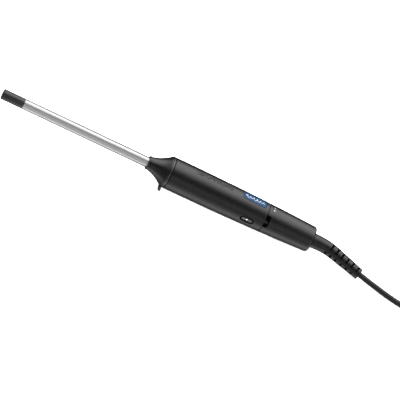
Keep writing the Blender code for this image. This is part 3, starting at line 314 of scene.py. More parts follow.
def pill(length, width):
    """A slot's outline, its length along the first axis."""
    half, radius = (length - width) / 2, max(width / 2, 0.0)
    right = arc((half, 0), radius, -math.pi / 2, math.pi / 2, PILL_STEPS)
    left = arc((-half, 0), radius, math.pi / 2, 3 * math.pi / 2, PILL_STEPS)
    return right + left


def rounded(length, width, corner, steps=6):
    """A rectangle's outline with rounded corners, centred."""
    x, y = max(length / 2 - corner, 0.0), max(width / 2 - corner, 0.0)
    square = math.pi / 2
    centres = [(x, y), (-x, y), (-x, -y), (x, -y)]
    return [
        point
        for i, centre in enumerate(centres)
        for point in arc(centre, corner, i * square, (i + 1) * square, steps)
    ]


def handle_radius(station):
    """The outer radius of the sleeve and collar, whose taper grows towards the rear."""
    share = (station - SLEEVE_FROM) / HANDLE_TAPER_LENGTH
    return HANDLE_FRONT_RADIUS - HANDLE_TAPER * max(share, 0.0) ** HANDLE_TAPER_POWER


def handle_line(start, end):
    """Points along the handle's outline."""
    steps = max(2, round((end - start) / HANDLE_SPACING))
    stations = [start + (end - start) * i / steps for i in range(steps + 1)]
    return [(station, handle_radius(station)) for station in stations]


def quarter(radius, steps=EDGE_STEPS):
    """The (inset, drop) of points over an edge rounded by radius, from its wall to its top."""
    angles = [math.pi / 2 * k / steps for k in range(steps + 1)]
    return [(radius * (1 - math.cos(angle)), radius * (1 - math.sin(angle))) for angle in angles]


# -------- meshes
def smoothed(mesh):
    """Shades a mesh smooth but for its sharp edges."""
    mesh.shade_smooth()
    mesh.set_sharp_from_angle(angle=SHARP_ANGLE)


def piece(name, bm, place=WAND):
    """An object of that mesh, its doubled points joined."""
    bmesh.ops.remove_doubles(bm, verts=bm.verts, dist=WELD)
    bmesh.ops.recalc_face_normals(bm, faces=bm.faces)
    mesh = bpy.data.meshes.new(name)
    bm.to_mesh(mesh)
    bm.free()
    smoothed(mesh)
    return added(name, mesh, place)


def rings_to_mesh(rings, closed=False, capped=False):
    """A mesh through rings of as many points each. closed joins the last ring to the first."""
    bm = bmesh.new()
    rows = [[bm.verts.new(point) for point in ring] for ring in rings]
    pairs = list(zip(rows, rows[1:])) + ([(rows[-1], rows[0])] if closed else [])
    for row, following in pairs:
        for j in range(len(row)):
            k = (j + 1) % len(row)
            bm.faces.new((row[j], row[k], following[k], following[j]))
    if capped:
        bm.faces.new(rows[0])
        bm.faces.new(rows[-1])
    return bm


def full_turn(steps):
    return [2 * math.pi * j / steps for j in range(steps)]


def turned(name, outline, steps=TURN_STEPS):
    """A solid of revolution about the wand's axis, from its section's (station, radius) points."""
    rings = [
        [
            (station, -radius * math.sin(angle), radius * math.cos(angle))
            for angle in full_turn(steps)
        ]
        for station, radius in outline
    ]
    hollow = outline[0][1] > 0 or outline[-1][1] > 0
    return piece(name, rings_to_mesh(rings, closed=hollow))


# The ways across and out of the handle at its badge and at its button.
FACING_BADGE = (Vector((0, 1, 0)), Vector((0, 0, 1)))
FACING_BUTTON = (Vector((0, 0, 1)), Vector((0, -1, 0)))
BADGE_STATION = (BADGE_FROM + BADGE_TO) / 2
AT_BADGE, AT_BUTTON = (BADGE_STATION, FACING_BADGE), (BUTTON_STATION, FACING_BUTTON)
ABOVE = 1 * mm  # the height of a cutter's top over the handle


def on_handle(station, across, height, facing):
    """The point so far across from the wand's middle line and so high over the handle's surface."""
    side, out = facing
    radius = handle_radius(station)
    depth = math.sqrt(max(radius**2 - across**2, 0.0)) + height
    return Vector((station, 0, 0)) + side * across + out * depth


def plate(name, outline_at, where, levels):
    """A plate that follows the handle, built up through (inset, height) levels.

    outline_at(inset) gives the outline's (along, across) points for that inset. The bottom is
    closed at the first level's height and the top at the last one's.
    """
    station, facing = where
    base, crown = (
        [(inset, height) for inset in shrinking(outline_at, start)]
        for start, height in (levels[0], levels[-1])
    )
    sheets = [
        [
            on_handle(station + along, across, height, facing)
            for along, across in outline_at(inset)
        ]
        for inset, height in base[::-1] + levels + crown
    ]
    return piece(name, rings_to_mesh(sheets))


def shrinking(outline_at, start):
    """Growing insets from start to where the outline has no width left."""
    width = max(across for _, across in outline_at(start))
    return [start + width * (i + 1) / PLATE_RINGS for i in range(PLATE_RINGS)]


def cutter_levels(inset, floor, radius, surface=0.0):
    """Levels of a cutter from floor up, which rounds the edge that it leaves at the surface."""
    edge = [(inset - out, surface - drop) for out, drop in quarter(radius)]
    return [(inset, floor), *edge, (inset - radius, ABOVE)]


def plate_levels(base, top, radius):
    """Levels of a plate from base to top, its upper edge rounded."""
    return [(0, base), *((inset, top - drop) for inset, drop in quarter(radius))]


def carve(target, cutter, operation="DIFFERENCE"):
    """Cuts or joins at once, and removes the cutter."""
    step = target.modifiers.new(operation, "BOOLEAN")
    step.operation = operation
    step.object = cutter
    step.solver = "EXACT"
    bpy.context.view_layer.update()
    graph = bpy.context.evaluated_depsgraph_get()
    mesh = bpy.data.meshes.new_from_object(target.evaluated_get(graph))
    target.modifiers.clear()
    old = target.data
    target.data = mesh
    bpy.data.meshes.remove(old)
    bpy.data.objects.remove(cutter)
    smoothed(mesh)


def ring_sector(inner, outer, middle, half_span):
    """Part of a ring seen along the wand, about an angle from the badge towards the button."""
    low, high = middle - half_span, middle + half_span
    there = arc((0, 0), outer, low, high, SECTOR_STEPS)
    return there + arc((0, 0), inner, high, low, SECTOR_STEPS)


# The plane of ring_sector: its first axis to the badge, its second to the button, its normal
# along the wand.
ACROSS = Matrix(((0, 0, 1, 0), (0, -1, 0, 0), (1, 0, 0, 0), (0, 0, 0, 1)))


def carve_stops(target, radii, middle, half_span, stations, operation="DIFFERENCE"):
    """Cuts or joins a ring sector between two stations, at each of the collar's stops."""
    for turn in STOP_TURNS:
        sector = ring_sector(*radii, middle + turn, half_span)
        rings = [[(x, y, station) for x, y in sector] for station in stations]
        solid = piece("stop", rings_to_mesh(rings, capped=True), WAND @ ACROSS)
        carve(target, solid, operation)


def tube_along(name, line, radius_at):
    """A tube along a line, its radius given by the share of the line's points passed."""
    rings = []
    up = Vector((0, 0, 1))
    for i, point in enumerate(line):
        before, after = line[max(i - 1, 0)], line[min(i + 1, len(line) - 1)]
        tangent = (after - before).normalized()
        side = up.cross(tangent).normalized()
        over = tangent.cross(side)
        radius = radius_at(i / (len(line) - 1))
        rings.append(
            [
                point + side * radius * math.cos(angle) + over * radius * math.sin(angle)
                for angle in full_turn(TUBE_STEPS)
            ]
        )
    return piece(name, rings_to_mesh(rings, capped=True), TABLE)


# -------- materials
class Nodes:
    """A node tree, and short calls that wire nodes into it."""

    def __init__(self, tree):
        self.tree = tree

    def node(self, kind, **settings):
        made = self.tree.nodes.new(kind)
        for name, value in settings.items():
            setattr(made, name, value)
        return made

    def feed(self, socket, value):
        """Puts a number, a colour or another node's output into a socket."""
        if isinstance(value, bpy.types.NodeSocket):
            self.tree.links.new(value, socket)
        elif isinstance(value, tuple) and len(value) == 3 and socket.type == "RGBA":
            socket.default_value = (*value, 1.0)
        else:
            socket.default_value = value

    def fed(self, made, output=0, **values):
        """An output of a node, once the sockets of those names are fed, with _ for each space."""
        for name, value in values.items():
            self.feed(made.inputs[name.replace("_", " ")], value)
        return made.outputs[output]

    def math(self, operation, *values):
        made = self.node("ShaderNodeMath", operation=operation)
        for socket, value in zip(made.inputs, values):
            self.feed(socket, value)
        return made.outputs[0]

    def axes(self, vector):
        """A vector's X, Y and Z as three numbers."""
        made = self.node("ShaderNodeSeparateXYZ")
        self.feed(made.inputs[0], vector)
        return made.outputs

    def ramp(self, value, low, high):
        """value, mapped so that low gives 0 and high gives 1, held between them."""
        made = self.node("ShaderNodeMapRange")
        return self.fed(made, Value=value, From_Min=low, From_Max=high)


class Shade(Nodes):
    """A material with one Principled shader, patterned by the object's coordinates."""

    def __init__(self, name, colour, roughness, metallic=0.0, **sockets):
        self.material = bpy.data.materials.new(name)
        self.material.use_nodes = True
        super().__init__(self.material.node_tree)
        self.shader = self.tree.nodes["Principled BSDF"]
        self.look(Base_Color=colour, Roughness=roughness, Metallic=metallic, **sockets)
        self.place = self.node("ShaderNodeTexCoord").outputs["Object"]

    def look(self, **values):
        """Feeds the shader's sockets of those names."""
        self.fed(self.shader, **values)

    def noise(self, size, detail=2.0, along=None):
        """Noise with features of about that size, from 0 to 1. along stretches it lengthwise."""
        made = self.node("ShaderNodeTexNoise")
        vector = self.place
        if along:
            stretch = self.node("ShaderNodeMapping")
            vector = self.fed(stretch, Vector=self.place, Scale=(1 / along, 1, 1))
        return self.fed(made, "Fac", Vector=vector, Scale=1 / size, Detail=detail)

    def blend(self, share, first, second):
        """One colour, or colour output, mixed into another."""
        made = self.node("ShaderNodeMix", data_type="RGBA")
        return self.fed(made, "Result", Factor=share, A=first, B=second)

    def between(self, share, first, second):
        """One number mixed into another."""
        made = self.node("ShaderNodeMix", data_type="FLOAT")
        return self.fed(made, "Result", Factor=share, A=first, B=second)

    def printed_marks(self, start, end, middle, rows, row_pitch, pitch):
        """Duller dashes in rows along the badge's line, where a rating would be printed."""
        # The shortest dash in a cell, its height in a row, the cells printed, and how far a dash
        # is shaded as metal.
        least, tallest, printed, dullness = 0.25, 0.62, 0.8, 0.8
        x, y, z = self.axes(self.place)
        cell = self.math("DIVIDE", x, pitch)
        from_first = self.math("SUBTRACT", y, middle - rows * row_pitch / 2)
        line = self.math("DIVIDE", from_first, row_pitch)
        place = self.node("ShaderNodeCombineXYZ")
        self.feed(place.inputs[0], self.math("FLOOR", cell))
        self.feed(place.inputs[1], self.math("FLOOR", line))
        chance = self.node("ShaderNodeTexWhiteNoise", noise_dimensions="2D")
        chance = self.fed(chance, "Value", Vector=place.outputs[0])
        tests = [
            self.math("GREATER_THAN", x, start),
            self.math("LESS_THAN", x, end),
            self.math("GREATER_THAN", line, 0.0),
            self.math("LESS_THAN", line, float(rows)),
            self.math("GREATER_THAN", z, 0.0),
            self.math("LESS_THAN", self.math("FRACT", cell), self.math("ADD", chance, least)),
            self.math("LESS_THAN", self.math("FRACT", line), tallest),
            self.math("GREATER_THAN", chance, 1 - printed),
        ]
        mask = tests[0]
        for test in tests[1:]:
            mask = self.math("MULTIPLY", mask, test)
        self.look(Metallic=self.math("MULTIPLY", mask, dullness))

    def painted_highlight_bar(self, middle, half_length, half_width, highlight_grey):
        """A lighter bar of that grey along the middle of a part that faces the button's side: a
        painted highlight on the cap's crown.
        """
        blur = 0.2 * mm
        axes = self.axes(self.place)
        off = self.math("ABSOLUTE", self.math("SUBTRACT", axes["X"], middle))
        ends = self.ramp(off, half_length + blur, half_length)
        sides = self.ramp(self.math("ABSOLUTE", axes["Z"]), half_width + blur, half_width)
        before = self.shader.inputs["Base Color"].links[0].from_socket
        self.look(Base_Color=self.blend(self.math("MULTIPLY", ends, sides), before, highlight_grey))

    def mottled(self, signal, colour, dark, light):
        """The colour, from dark to light times itself as the signal goes from low to high."""
        share = self.ramp(signal, 0.3, 0.7)
        return self.blend(share, scaled(colour, dark), scaled(colour, light))

    def wear(self, signal, reach, roughness):
        """Makes the shader a little smoother or rougher than roughness, with the signal."""
        share = self.ramp(signal, 0.5 - reach, 0.5 + reach)
        self.look(Roughness=self.between(share, roughness - 0.03, roughness + 0.04))

    def emboss(self, height, depth):
        """Bumps of that height signal, as deep as depth in metres."""
        made = self.node("ShaderNodeBump")
        self.look(Normal=self.fed(made, "Normal", Strength=1.0, Distance=depth, Height=height))


def scaled(colour, factor):
    return tuple(min(1.0, channel * factor) for channel in colour)


def moulded(name, colour, roughness, grain=0.16 * mm, depth=0.004 * mm, **sockets):
    """A moulded plastic or rubber: spark-eroded grain, slight flow marks and handling marks."""
    shade = Shade(name, colour, roughness, **sockets)
    flow = shade.noise(9 * mm, 3.0, along=3.0)
    shade.look(Base_Color=shade.mottled(flow, colour, 0.8, 1.25))
    shade.wear(shade.noise(2.2 * mm, 4.0), 0.15, roughness)
    shade.emboss(shade.noise(grain, 1.0), depth)
    return shade


EDGE_SHADE_FACING = (0.35, 0.55)  # where the painted edge shade sets in and is full, from 0 facing to 1 edge-on


def metal(
    name, colour, roughness, along=30.0, streak=0.25 * mm, metallic=1.0, edge=1.0, **sockets
):
    """A metal with fine streaks along the wand's length, or even ones where along is 1.

    edge scales its colour where it curves out of sight: painted shade, a dark reflection painted at
    the outline.
    """
    shade = Shade(name, colour, roughness, metallic, **sockets)
    streaks = shade.noise(streak, along=along)
    tone = shade.mottled(streaks, colour, 0.95, 1.03)
    # Painted shade: the colour darkens towards the outline, standing in for the dark reflections
    # there.
    if edge != 1:
        facing = shade.node("ShaderNodeLayerWeight").outputs["Facing"]
        tone = shade.blend(shade.ramp(facing, *EDGE_SHADE_FACING), tone, scaled(colour, edge))
    shade.look(Base_Color=tone)
    shade.wear(streaks, 0.2, roughness)
    shade.emboss(streaks, 0.001 * mm)
    return shade


def rubbery(name, colour, roughness, shine):
    """A moulded rubber, with a coarser grain than the plastics."""
    grain, depth = 0.3 * mm, 0.006 * mm
    return moulded(name, colour, roughness, grain, depth, Specular_IOR_Level=shine)


def tape(name):
    """Woven tape with a slight sheen."""
    shade = Shade(name, (0.012, 0.012, 0.013), 0.9, Sheen_Weight=0.3, Sheen_Roughness=0.6)
    shade.emboss(shade.noise(0.35 * mm), 0.15 * mm)
    return shade


def finished(made, shade):
    """The piece, given that material alone."""
    made.data.materials.clear()
    made.data.materials.append(shade.material)
    return made


handle_plastic = moulded("handle_plastic", (0.0035, 0.0035, 0.0036), 0.3)
handle_plastic.printed_marks(
    start=191.5 * mm, end=229.5 * mm, middle=-0.9 * mm, rows=3, row_pitch=1.35 * mm, pitch=1.7 * mm
)
nose_plastic = moulded("nose_plastic", (0.0045, 0.0045, 0.0046), 0.28)
tip_plastic = moulded("tip_plastic", (0.011, 0.011, 0.0115), 0.35)
rubber = rubbery("cord_rubber", (0.008, 0.008, 0.0083), 0.4, 0.32)
boot_rubber = rubbery("boot_rubber", (0.005, 0.005, 0.0052), 0.33, 0.4)
# Near-black, dull rubber for the boot slots' floors and walls: painted shade in the slots.
slot_painted_shade = rubbery("slot_painted_shade", (0.002, 0.002, 0.002), 0.7, 0.1)
button_plastic = moulded("button_plastic", (0.006, 0.006, 0.006), 0.3, depth=0.002 * mm)
# Painted highlight: a lighter grey bar along the cap's crown.
button_plastic.painted_highlight_bar(
    BUTTON_STATION, half_length=4.5 * mm, half_width=0.75 * mm, highlight_grey=(0.07, 0.07, 0.07)
)
barrel_metal = metal(
    "barrel_metal",
    (0.42, 0.42, 0.423),
    0.16,
    metallic=0.56,
    # Painted shade: the barrel's colour falls to 0.04 of itself at its outline.
    edge=0.04,
    Specular_Tint=(0.4, 0.4, 0.4, 1.0),
)
badge_blue = moulded(
    "badge_blue", (0.012, 0.055, 0.135), 0.3, 0.5 * mm, 0.001 * mm, Specular_IOR_Level=0.12
)
white_ink = moulded("white_ink", (0.78, 0.79, 0.8), 0.45, depth=0.002 * mm)
lens_clear = moulded("lens_clear", (0.72, 0.74, 0.72), 0.18, depth=0.001 * mm)
hook_tape = tape("hook_tape_fine")
pin_metal = metal("pin_metal", (0.78, 0.76, 0.72), 0.22, along=1.0, streak=0.4 * mm)


# -------- barrel and tip
def cool_tip():
    edge, plug_edge = 0.12 * mm, 0.3 * mm
    outline = filleted(
        (TIP_FROM, 0, 0),
        (TIP_FROM, TIP_RADIUS, TIP_RADIUS - TIP_FACE_RADIUS),
        (TIP_TO, TIP_RADIUS, edge),
        (TIP_TO, TIP_PLUG_RADIUS, 0),
        (TIP_PLUG_TO, TIP_PLUG_RADIUS, plug_edge),
        (TIP_PLUG_TO, 0, 0),
    )
    tip = finished(turned("cool_tip_fine", outline), tip_plastic)
    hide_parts("cool_tip")
    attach(tip, "handle")


def barrel():
    inner, edge = BARREL_RADIUS - BARREL_WALL, 0.15 * mm
    outline = filleted(
        (BARREL_FROM, inner, 0),
        (BARREL_FROM, BARREL_RADIUS, edge),
        (BARREL_TO, BARREL_RADIUS, edge),
        (BARREL_TO, inner, 0),
    )
    tube = finished(turned("barrel_tube_fine", outline), barrel_metal)
    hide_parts("barrel_tube")
    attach(tube, "handle")


# -------- nose cone
def nose_flare():
    """The concave flare, an arc that turns outwards from the lip to the rim."""
    (x0, r0), (x1, r1) = NOSE_FLARE_FROM, NOSE_FLARE_TO
    chord, slope = math.hypot(x1 - x0, r1 - r0), math.atan2(r1 - r0, x1 - x0)
    radius = chord / (2 * math.sin(NOSE_FLARE_TURN / 2))
    start = slope - NOSE_FLARE_TURN / 2
    centre = (x0 - radius * math.sin(start), r0 + radius * math.cos(start))
    first = start - math.pi / 2
    return arc(centre, radius, first, first + NOSE_FLARE_TURN, FLARE_STEPS)


def foot_fin():
    """The fin that the wand stands on, level with the table, thinner and rounder at its sole."""
    root, shoulder, corner, corner_steps = 12.6 * mm, 9.5 * mm, 2.0 * mm, 8
    x, sole = FOOT_HALF_WIDTH, -FOOT_DEPTH
    rear, thick, thin = FOOT_THICKNESS / 2, FOOT_THICKNESS + 0.6 * mm, 2.8 * mm
    lean = 0.8 * mm  # of the rear face, under the sleeve
    back_edge, front_edge = 0.5 * mm, 1.5 * mm
    sheets = []
    for face, levels in ((1, quarter(back_edge, 4)[::-1]), (-1, quarter(front_edge, 4))):
        for inset, into in levels:
            outline = filleted(
                (shoulder - inset, -root, 0),
                (x - inset, sole + inset, corner),
                (-x + inset, sole + inset, corner),
                (-shoulder + inset, -root, 0),
                steps=corner_steps,
            )
            sheet = []
            for across, down in outline:
                deep = (down + root) / (sole + root)
                back = rear + lean * deep
                front = back - (thick + (thin - thick) * deep)
                sheet.append((back - into if face > 0 else front + into, across, down))
            sheets.append(sheet)
    upright = WAND.to_3x3().inverted().to_4x4()
    pivot = Matrix.Translation((FOOT_STATION, 0, -FOOT_DEPTH))
    place = WAND @ pivot @ upright @ Matrix.Translation((0, 0, FOOT_DEPTH))
    return piece("foot_fin", rings_to_mesh(sheets, capped=True), place)


def nose_cone():
    """The nose: its lip round the barrel, its flare, its rim and the spigot in the sleeve."""
    (flare_from, lip_side), (flare_to, rim_side) = NOSE_FLARE_FROM, NOSE_FLARE_TO
    lip = NOSE_LIP_RADIUS + 0.1 * mm
    outline = filleted(
        (NOSE_MOUTH, NOSE_BORE, 0.2 * mm),
        (NOSE_MOUTH, lip, 0.5 * mm),
        (flare_from - 0.15 * mm, lip, 0.4 * mm),
        (flare_from - 0.05 * mm, lip_side - 0.05 * mm, 0),
    )
    outline += nose_flare()
    outline += filleted(
        (flare_to + 0.65 * mm, rim_side + 0.1 * mm, 0),
        (flare_to + 0.85 * mm, NOSE_RIM_RADIUS + 0.25 * mm, 0.3 * mm),
        (NOSE_RIM_TO, NOSE_RIM_RADIUS - 0.3 * mm, 0.45 * mm),
        (NOSE_RIM_TO, NOSE_SPIGOT_RADIUS, 0),
        (NOSE_SPIGOT_TO, NOSE_SPIGOT_RADIUS, 0.3 * mm),
        (NOSE_SPIGOT_TO, NOSE_CAVITY_RADIUS, 0),
        *((station, radius, 0) for station, radius in NOSE_HOLLOW),
        (NOSE_HOLLOW[-1][0], NOSE_BORE, 0),
    )
    nose = turned("nose_cone_fine", outline)
    carve(nose, foot_fin(), "UNION")
    finished(nose, nose_plastic)
    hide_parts("nose_cone")
    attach(nose, "handle")


# -------- handle, badge and button
def button_outline(inset):
    return pill(BUTTON_LENGTH - 2 * inset, BUTTON_WIDTH - 2 * inset)


def badge_outline(inset):
    length, width = BADGE_TO - BADGE_FROM, 2 * BADGE_HALF_WIDTH
    return rounded(length - 2 * inset, width - 2 * inset, max(1.2 * mm - inset, 0.0))


def rim(station, edge, way):
    """The rounded edge where the handle's outline ends: way is -1 at a front face, 1 at a rear."""
    radius = handle_radius(station) - edge
    first, last = (math.pi, math.pi / 2) if way < 0 else (math.pi / 2, 0)
    return arc((station - way * edge, radius), edge, first, last, RIM_STEPS)


def handle_sleeve():
    edge = HANDLE_EDGE
    socket_to = NOSE_SPIGOT_TO + 2 * mm
    tab_root, slot_floor, recess_floor = 2.0 * mm, -4 * mm, -BADGE_THICKNESS - 0.25 * mm
    outline = [
        (SLEEVE_FROM, SLEEVE_SOCKET),
        *rim(SLEEVE_FROM, edge, -1),
        *handle_line(SLEEVE_FROM + edge, SLEEVE_TO - edge),
        *rim(SLEEVE_TO, edge, 1),
        (SLEEVE_TO, SLEEVE_BORE),
        (socket_to, SLEEVE_BORE),
        (socket_to, SLEEVE_SOCKET),
    ]
    sleeve = turned("handle_sleeve_fine", outline)
    radii, stations = (TAB_ROOT_RADIUS, TAB_RADIUS), (SLEEVE_TO - tab_root, SLEEVE_TO + TAB_LENGTH)
    carve_stops(sleeve, radii, TAB_ANGLE, TAB_HALF_SPAN, stations, "UNION")
    slot = cutter_levels(-BUTTON_SLOT_MARGIN, slot_floor, 0.3 * mm)
    carve(sleeve, plate("button_slot", button_outline, AT_BUTTON, slot))
    recess = cutter_levels(-BADGE_GAP, recess_floor, 0.12 * mm)
    carve(sleeve, plate("badge_recess", badge_outline, AT_BADGE, recess))
    finished(sleeve, handle_plastic)
    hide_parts("handle_sleeve")
    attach(sleeve, "handle")


def badge():
    levels = plate_levels(-BADGE_THICKNESS, -0.02 * mm, 0.15 * mm)
    made = finished(plate("badge_plate_fine", badge_outline, AT_BADGE, levels), badge_blue)
    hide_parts("badge_plate")
    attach(made, "handle")


def curve_piece(name, lines, radius, place=TABLE, resolution=4):
    """Round wires along lines, in one curve object."""
    curve = bpy.data.curves.new(name, "CURVE")
    curve.dimensions = "3D"
    curve.bevel_depth = radius
    curve.bevel_resolution = resolution
    curve.use_fill_caps = True
    for line in lines:
        spline = curve.splines.new("POLY")
        spline.points.add(len(line) - 1)
        for point, where in zip(spline.points, line):
            point.co = (*where, 1)
        spline.use_smooth = True
    return added(name, curve, place)


def badge_motif():
    """A running wave with a bead at each end and in its middle: a plain ornament, inlaid."""
    waves, reach, height, steps = 5.5, 18.6 * mm, 1.9 * mm, 120
    hook = 0.5 * mm  # by how much each wave leans over
    wave = []
    for i in range(steps + 1):
        share = i / steps
        angle = 2 * math.pi * waves * share
        swell = 0.75 + 0.25 * math.cos(angle / 3)
        along = reach * (share - 0.5) + hook * math.cos(angle)
        wave.append((along, height * swell * math.sin(angle)))
    beads = [
        [(x * mm + 0.3 * mm * k, y * mm + 0.2 * mm * k) for k in (-1, 0, 1)]
        for x, y in ((-9.6, 0.5), (1.4, -0.2), (9.3, -0.6))
    ]
    proud = 0.12 * mm
    inlays = (("badge_wave", [wave], 0.24 * mm), ("badge_beads", beads, 0.42 * mm))
    for name, lines, radius in inlays:
        raised = [
            [
                on_handle(BADGE_STATION + along, across, proud - radius, FACING_BADGE)
                for along, across in line
            ]
            for line in lines
        ]
        made = finished(curve_piece(name, raised, radius, WAND), white_ink)
        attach(made, "handle")


def round_outline(radius, inset):
    across = 2 * (radius - inset)
    return pill(across, across)


window_outline = partial(round_outline, WINDOW_RADIUS)


def power_button():
    top, base = -BUTTON_RECESS, -3.9 * mm
    levels = plate_levels(base, top, 0.9 * mm)
    cap = plate("power_button_fine", button_outline, AT_BUTTON, levels)
    hole = cutter_levels(-0.1 * mm, 2 * base, 0.15 * mm, top)
    carve(cap, plate("window_hole", window_outline, AT_BUTTON, hole))
    finished(cap, button_plastic)
    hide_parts("power_button")
    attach(cap, "button")
    levels = plate_levels(base, top + 0.1 * mm, 0.35 * mm)
    window = plate("button_window_fine", window_outline, AT_BUTTON, levels)
    finished(window, lens_clear)
    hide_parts("button_window")
    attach(window, "button")


# -------- temperature collar
def temperature_collar():
    edge, lip = HANDLE_EDGE, 0.4 * mm
    inside, outside = 10.0 * mm, 16.0 * mm  # of the notches' cutters, past the wall's two faces
    groove, groove_floor = 0.8 * mm, COLLAR_BORE + 0.9 * mm  # its half width
    corner_station = COLLAR_TO - COLLAR_CORNER
    corner_centre = handle_radius(corner_station) - COLLAR_CORNER
    outline = [
        (COLLAR_FROM, COLLAR_BORE),
        *rim(COLLAR_FROM, edge, -1),
        *handle_line(COLLAR_FROM + edge, corner_station - 1 * mm),
        *arc((corner_station, corner_centre), COLLAR_CORNER, math.pi / 2, 0, CORNER_STEPS),
        *arc((COLLAR_TO - lip, COLLAR_EXIT_RADIUS + lip), lip, 0, -math.pi / 2, EDGE_STEPS),
        (COLLAR_TO - COLLAR_END_WALL, COLLAR_EXIT_RADIUS),
        (COLLAR_TO - COLLAR_END_WALL, COLLAR_BORE),
        (GROOVE_STATION + groove, COLLAR_BORE),
        (GROOVE_STATION + groove, groove_floor),
        (GROOVE_STATION - groove, groove_floor),
        (GROOVE_STATION - groove, COLLAR_BORE),
    ]
    collar = turned("temperature_collar_fine", outline)
    radii, stations = (inside, outside), (COLLAR_FROM - NOTCH_DEPTH, COLLAR_FROM + NOTCH_DEPTH)
    carve_stops(collar, radii, NOTCH_ANGLE, NOTCH_HALF_SPAN, stations)
    finished(collar, handle_plastic)
    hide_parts("temperature_collar")
    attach(collar, "collar")


DOT_STATION = 272.6 * mm
DOTS = ((9.5, 0.66 * mm), (-4, 0.46 * mm), (-17, 0.34 * mm))  # degrees from the badge, radius


def collar_dots():
    """Three printed dots that grow with the temperature."""
    levels = plate_levels(-0.1 * mm, 0.03 * mm, 0.03 * mm)
    for index, (degrees, radius) in enumerate(DOTS, 1):
        outline_at = partial(round_outline, radius)
        dot = plate(f"collar_dot_{index}", outline_at, (DOT_STATION, FACING_BADGE), levels)
        dot.matrix_world = WAND @ Matrix.Rotation(math.radians(degrees), 4, "X")
        finished(dot, white_ink)
        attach(dot, "collar")


# -------- boot, cord and hank
def boot_line():
    stations = (BOOT_FROM, 312.0 * mm, COLLAR_TO, 326.0 * mm)
    straight = [WAND @ Vector((station, 0, 0)) for station in stations]
    line = smooth_line(straight + in_metres(BOOT_BEND), BOOT_SPACING)
    end, before = line[-1], line[-2]
    return line[:-1] + [before.lerp(end, share) for share in (0.25, 0.5, 0.75, 0.9, 1.0)]


def boot_radius(share):
    """Full over the smooth root, then tapering over the slotted part."""
    taper = max((share - BOOT_TAPER_FROM) / (1 - BOOT_TAPER_FROM), 0.0)
    return BOOT_ROOT_RADIUS + (BOOT_END_RADIUS - BOOT_ROOT_RADIUS) * taper


def line_length(line):
    return sum((b - a).length for a, b in zip(line, line[1:]))


def add_sector(bm, outline, depth, place):
    """Adds a flat outline in the XY plane of place, half of depth to each side."""
    rows = [
        [bm.verts.new(place @ Vector((x, y, z))) for x, y in outline]
        for z in (-depth / 2, depth / 2)
    ]
    for j in range(len(outline)):
        k = (j + 1) % len(outline)
        bm.faces.new((rows[0][j], rows[0][k], rows[1][k], rows[1][j]))
    bm.faces.new(rows[0][::-1])
    bm.faces.new(rows[1])


def square_to(line, distance):
    """The plane square to a line, so far along it: X upwards, Y to the button's side."""
    i = 0
    while distance > (line[i + 1] - line[i]).length:
        distance -= (line[i + 1] - line[i]).length
        i += 1
    normal = (line[i + 1] - line[i]).normalized()
    up = Vector((0, 0, 1))
    up = (up - normal * up.dot(normal)).normalized()
    turn = Matrix((up, normal.cross(up), normal)).transposed().to_4x4()
    return Matrix.Translation(line[i] + normal * distance) @ turn


def boot():
    line = boot_line()
    total = line_length(line)
    rounding, beyond = 0.7 * mm, 9.5 * mm

    def radius_at(share):
        into = max(rounding - (1 - share) * total, 0.0)
        return boot_radius(share) - rounding + math.sqrt(rounding**2 - into**2)

    made = tube_along("strain_relief_fine", line, radius_at)
    cutter = bmesh.new()
    for middle, half_span, shift in BOOT_ROWS:
        turns = math.radians(middle), math.radians(half_span)
        sector = ring_sector(BOOT_SLOT_FLOOR, beyond, *turns)
        for k in range(BOOT_SLOTS):
            distance = total - BOOT_LAST_SLOT - BOOT_SLOT_PITCH * (k + shift)
            add_sector(cutter, sector, BOOT_SLOT_WIDTH, square_to(line, distance))
    slots = piece("boot_slots", cutter, TABLE)
    # The cutter's faces become the slots' floors and walls and take the near-black rubber: painted
    # shade in the slots.
    for body, slot in ((made, 0), (slots, 1)):
        finished(body, boot_rubber)
        body.data.materials.append(slot_painted_shade.material)
        for face in body.data.polygons:
            face.material_index = slot
    carve(made, slots)
    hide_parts("strain_relief_boot")
    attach(made, "cord_side")
    return made


# Where each turn of the hank lies: (0 outer or 1 inner, layer), and the part of the turn over
# which it shifts to the next one's place.
TURN_PLACES = ((0, 0), (1, 0), (1, 1), (1, 2), (0, 1), (0, 2))
TURN_SHIFTS = ((0.84, 1.0), (0.71, 0.87), (0.58, 0.75), (0.46, 0.64), (0.33, 0.49))
CROSSED = 3  # the turn that goes from the top of the inner stack to the middle of the outer
RUN_SHARE = 0.29  # of a turn, on each of its two runs
TURN_SAMPLES = 44


def ease(share):
    share = min(max(share, 0.0), 1.0)
    return (1 - math.cos(math.pi * share)) / 2


def crossing(share):
    """How far the crossed turn goes round the one inside it, and the next one makes way for it."""
    start, end = TURN_SHIFTS[CROSSED]
    shift = ease((share - start) / (end - start))
    round_inner = (math.sqrt(1 + 4 * shift * (1 - shift)) - 1) / 2
    a, b = 1 - shift - round_inner, shift - round_inner
    room = math.sqrt((a + b) ** 2 - 2 * (a * a + b * b - 1))
    return round_inner, (room - a - b) / 2


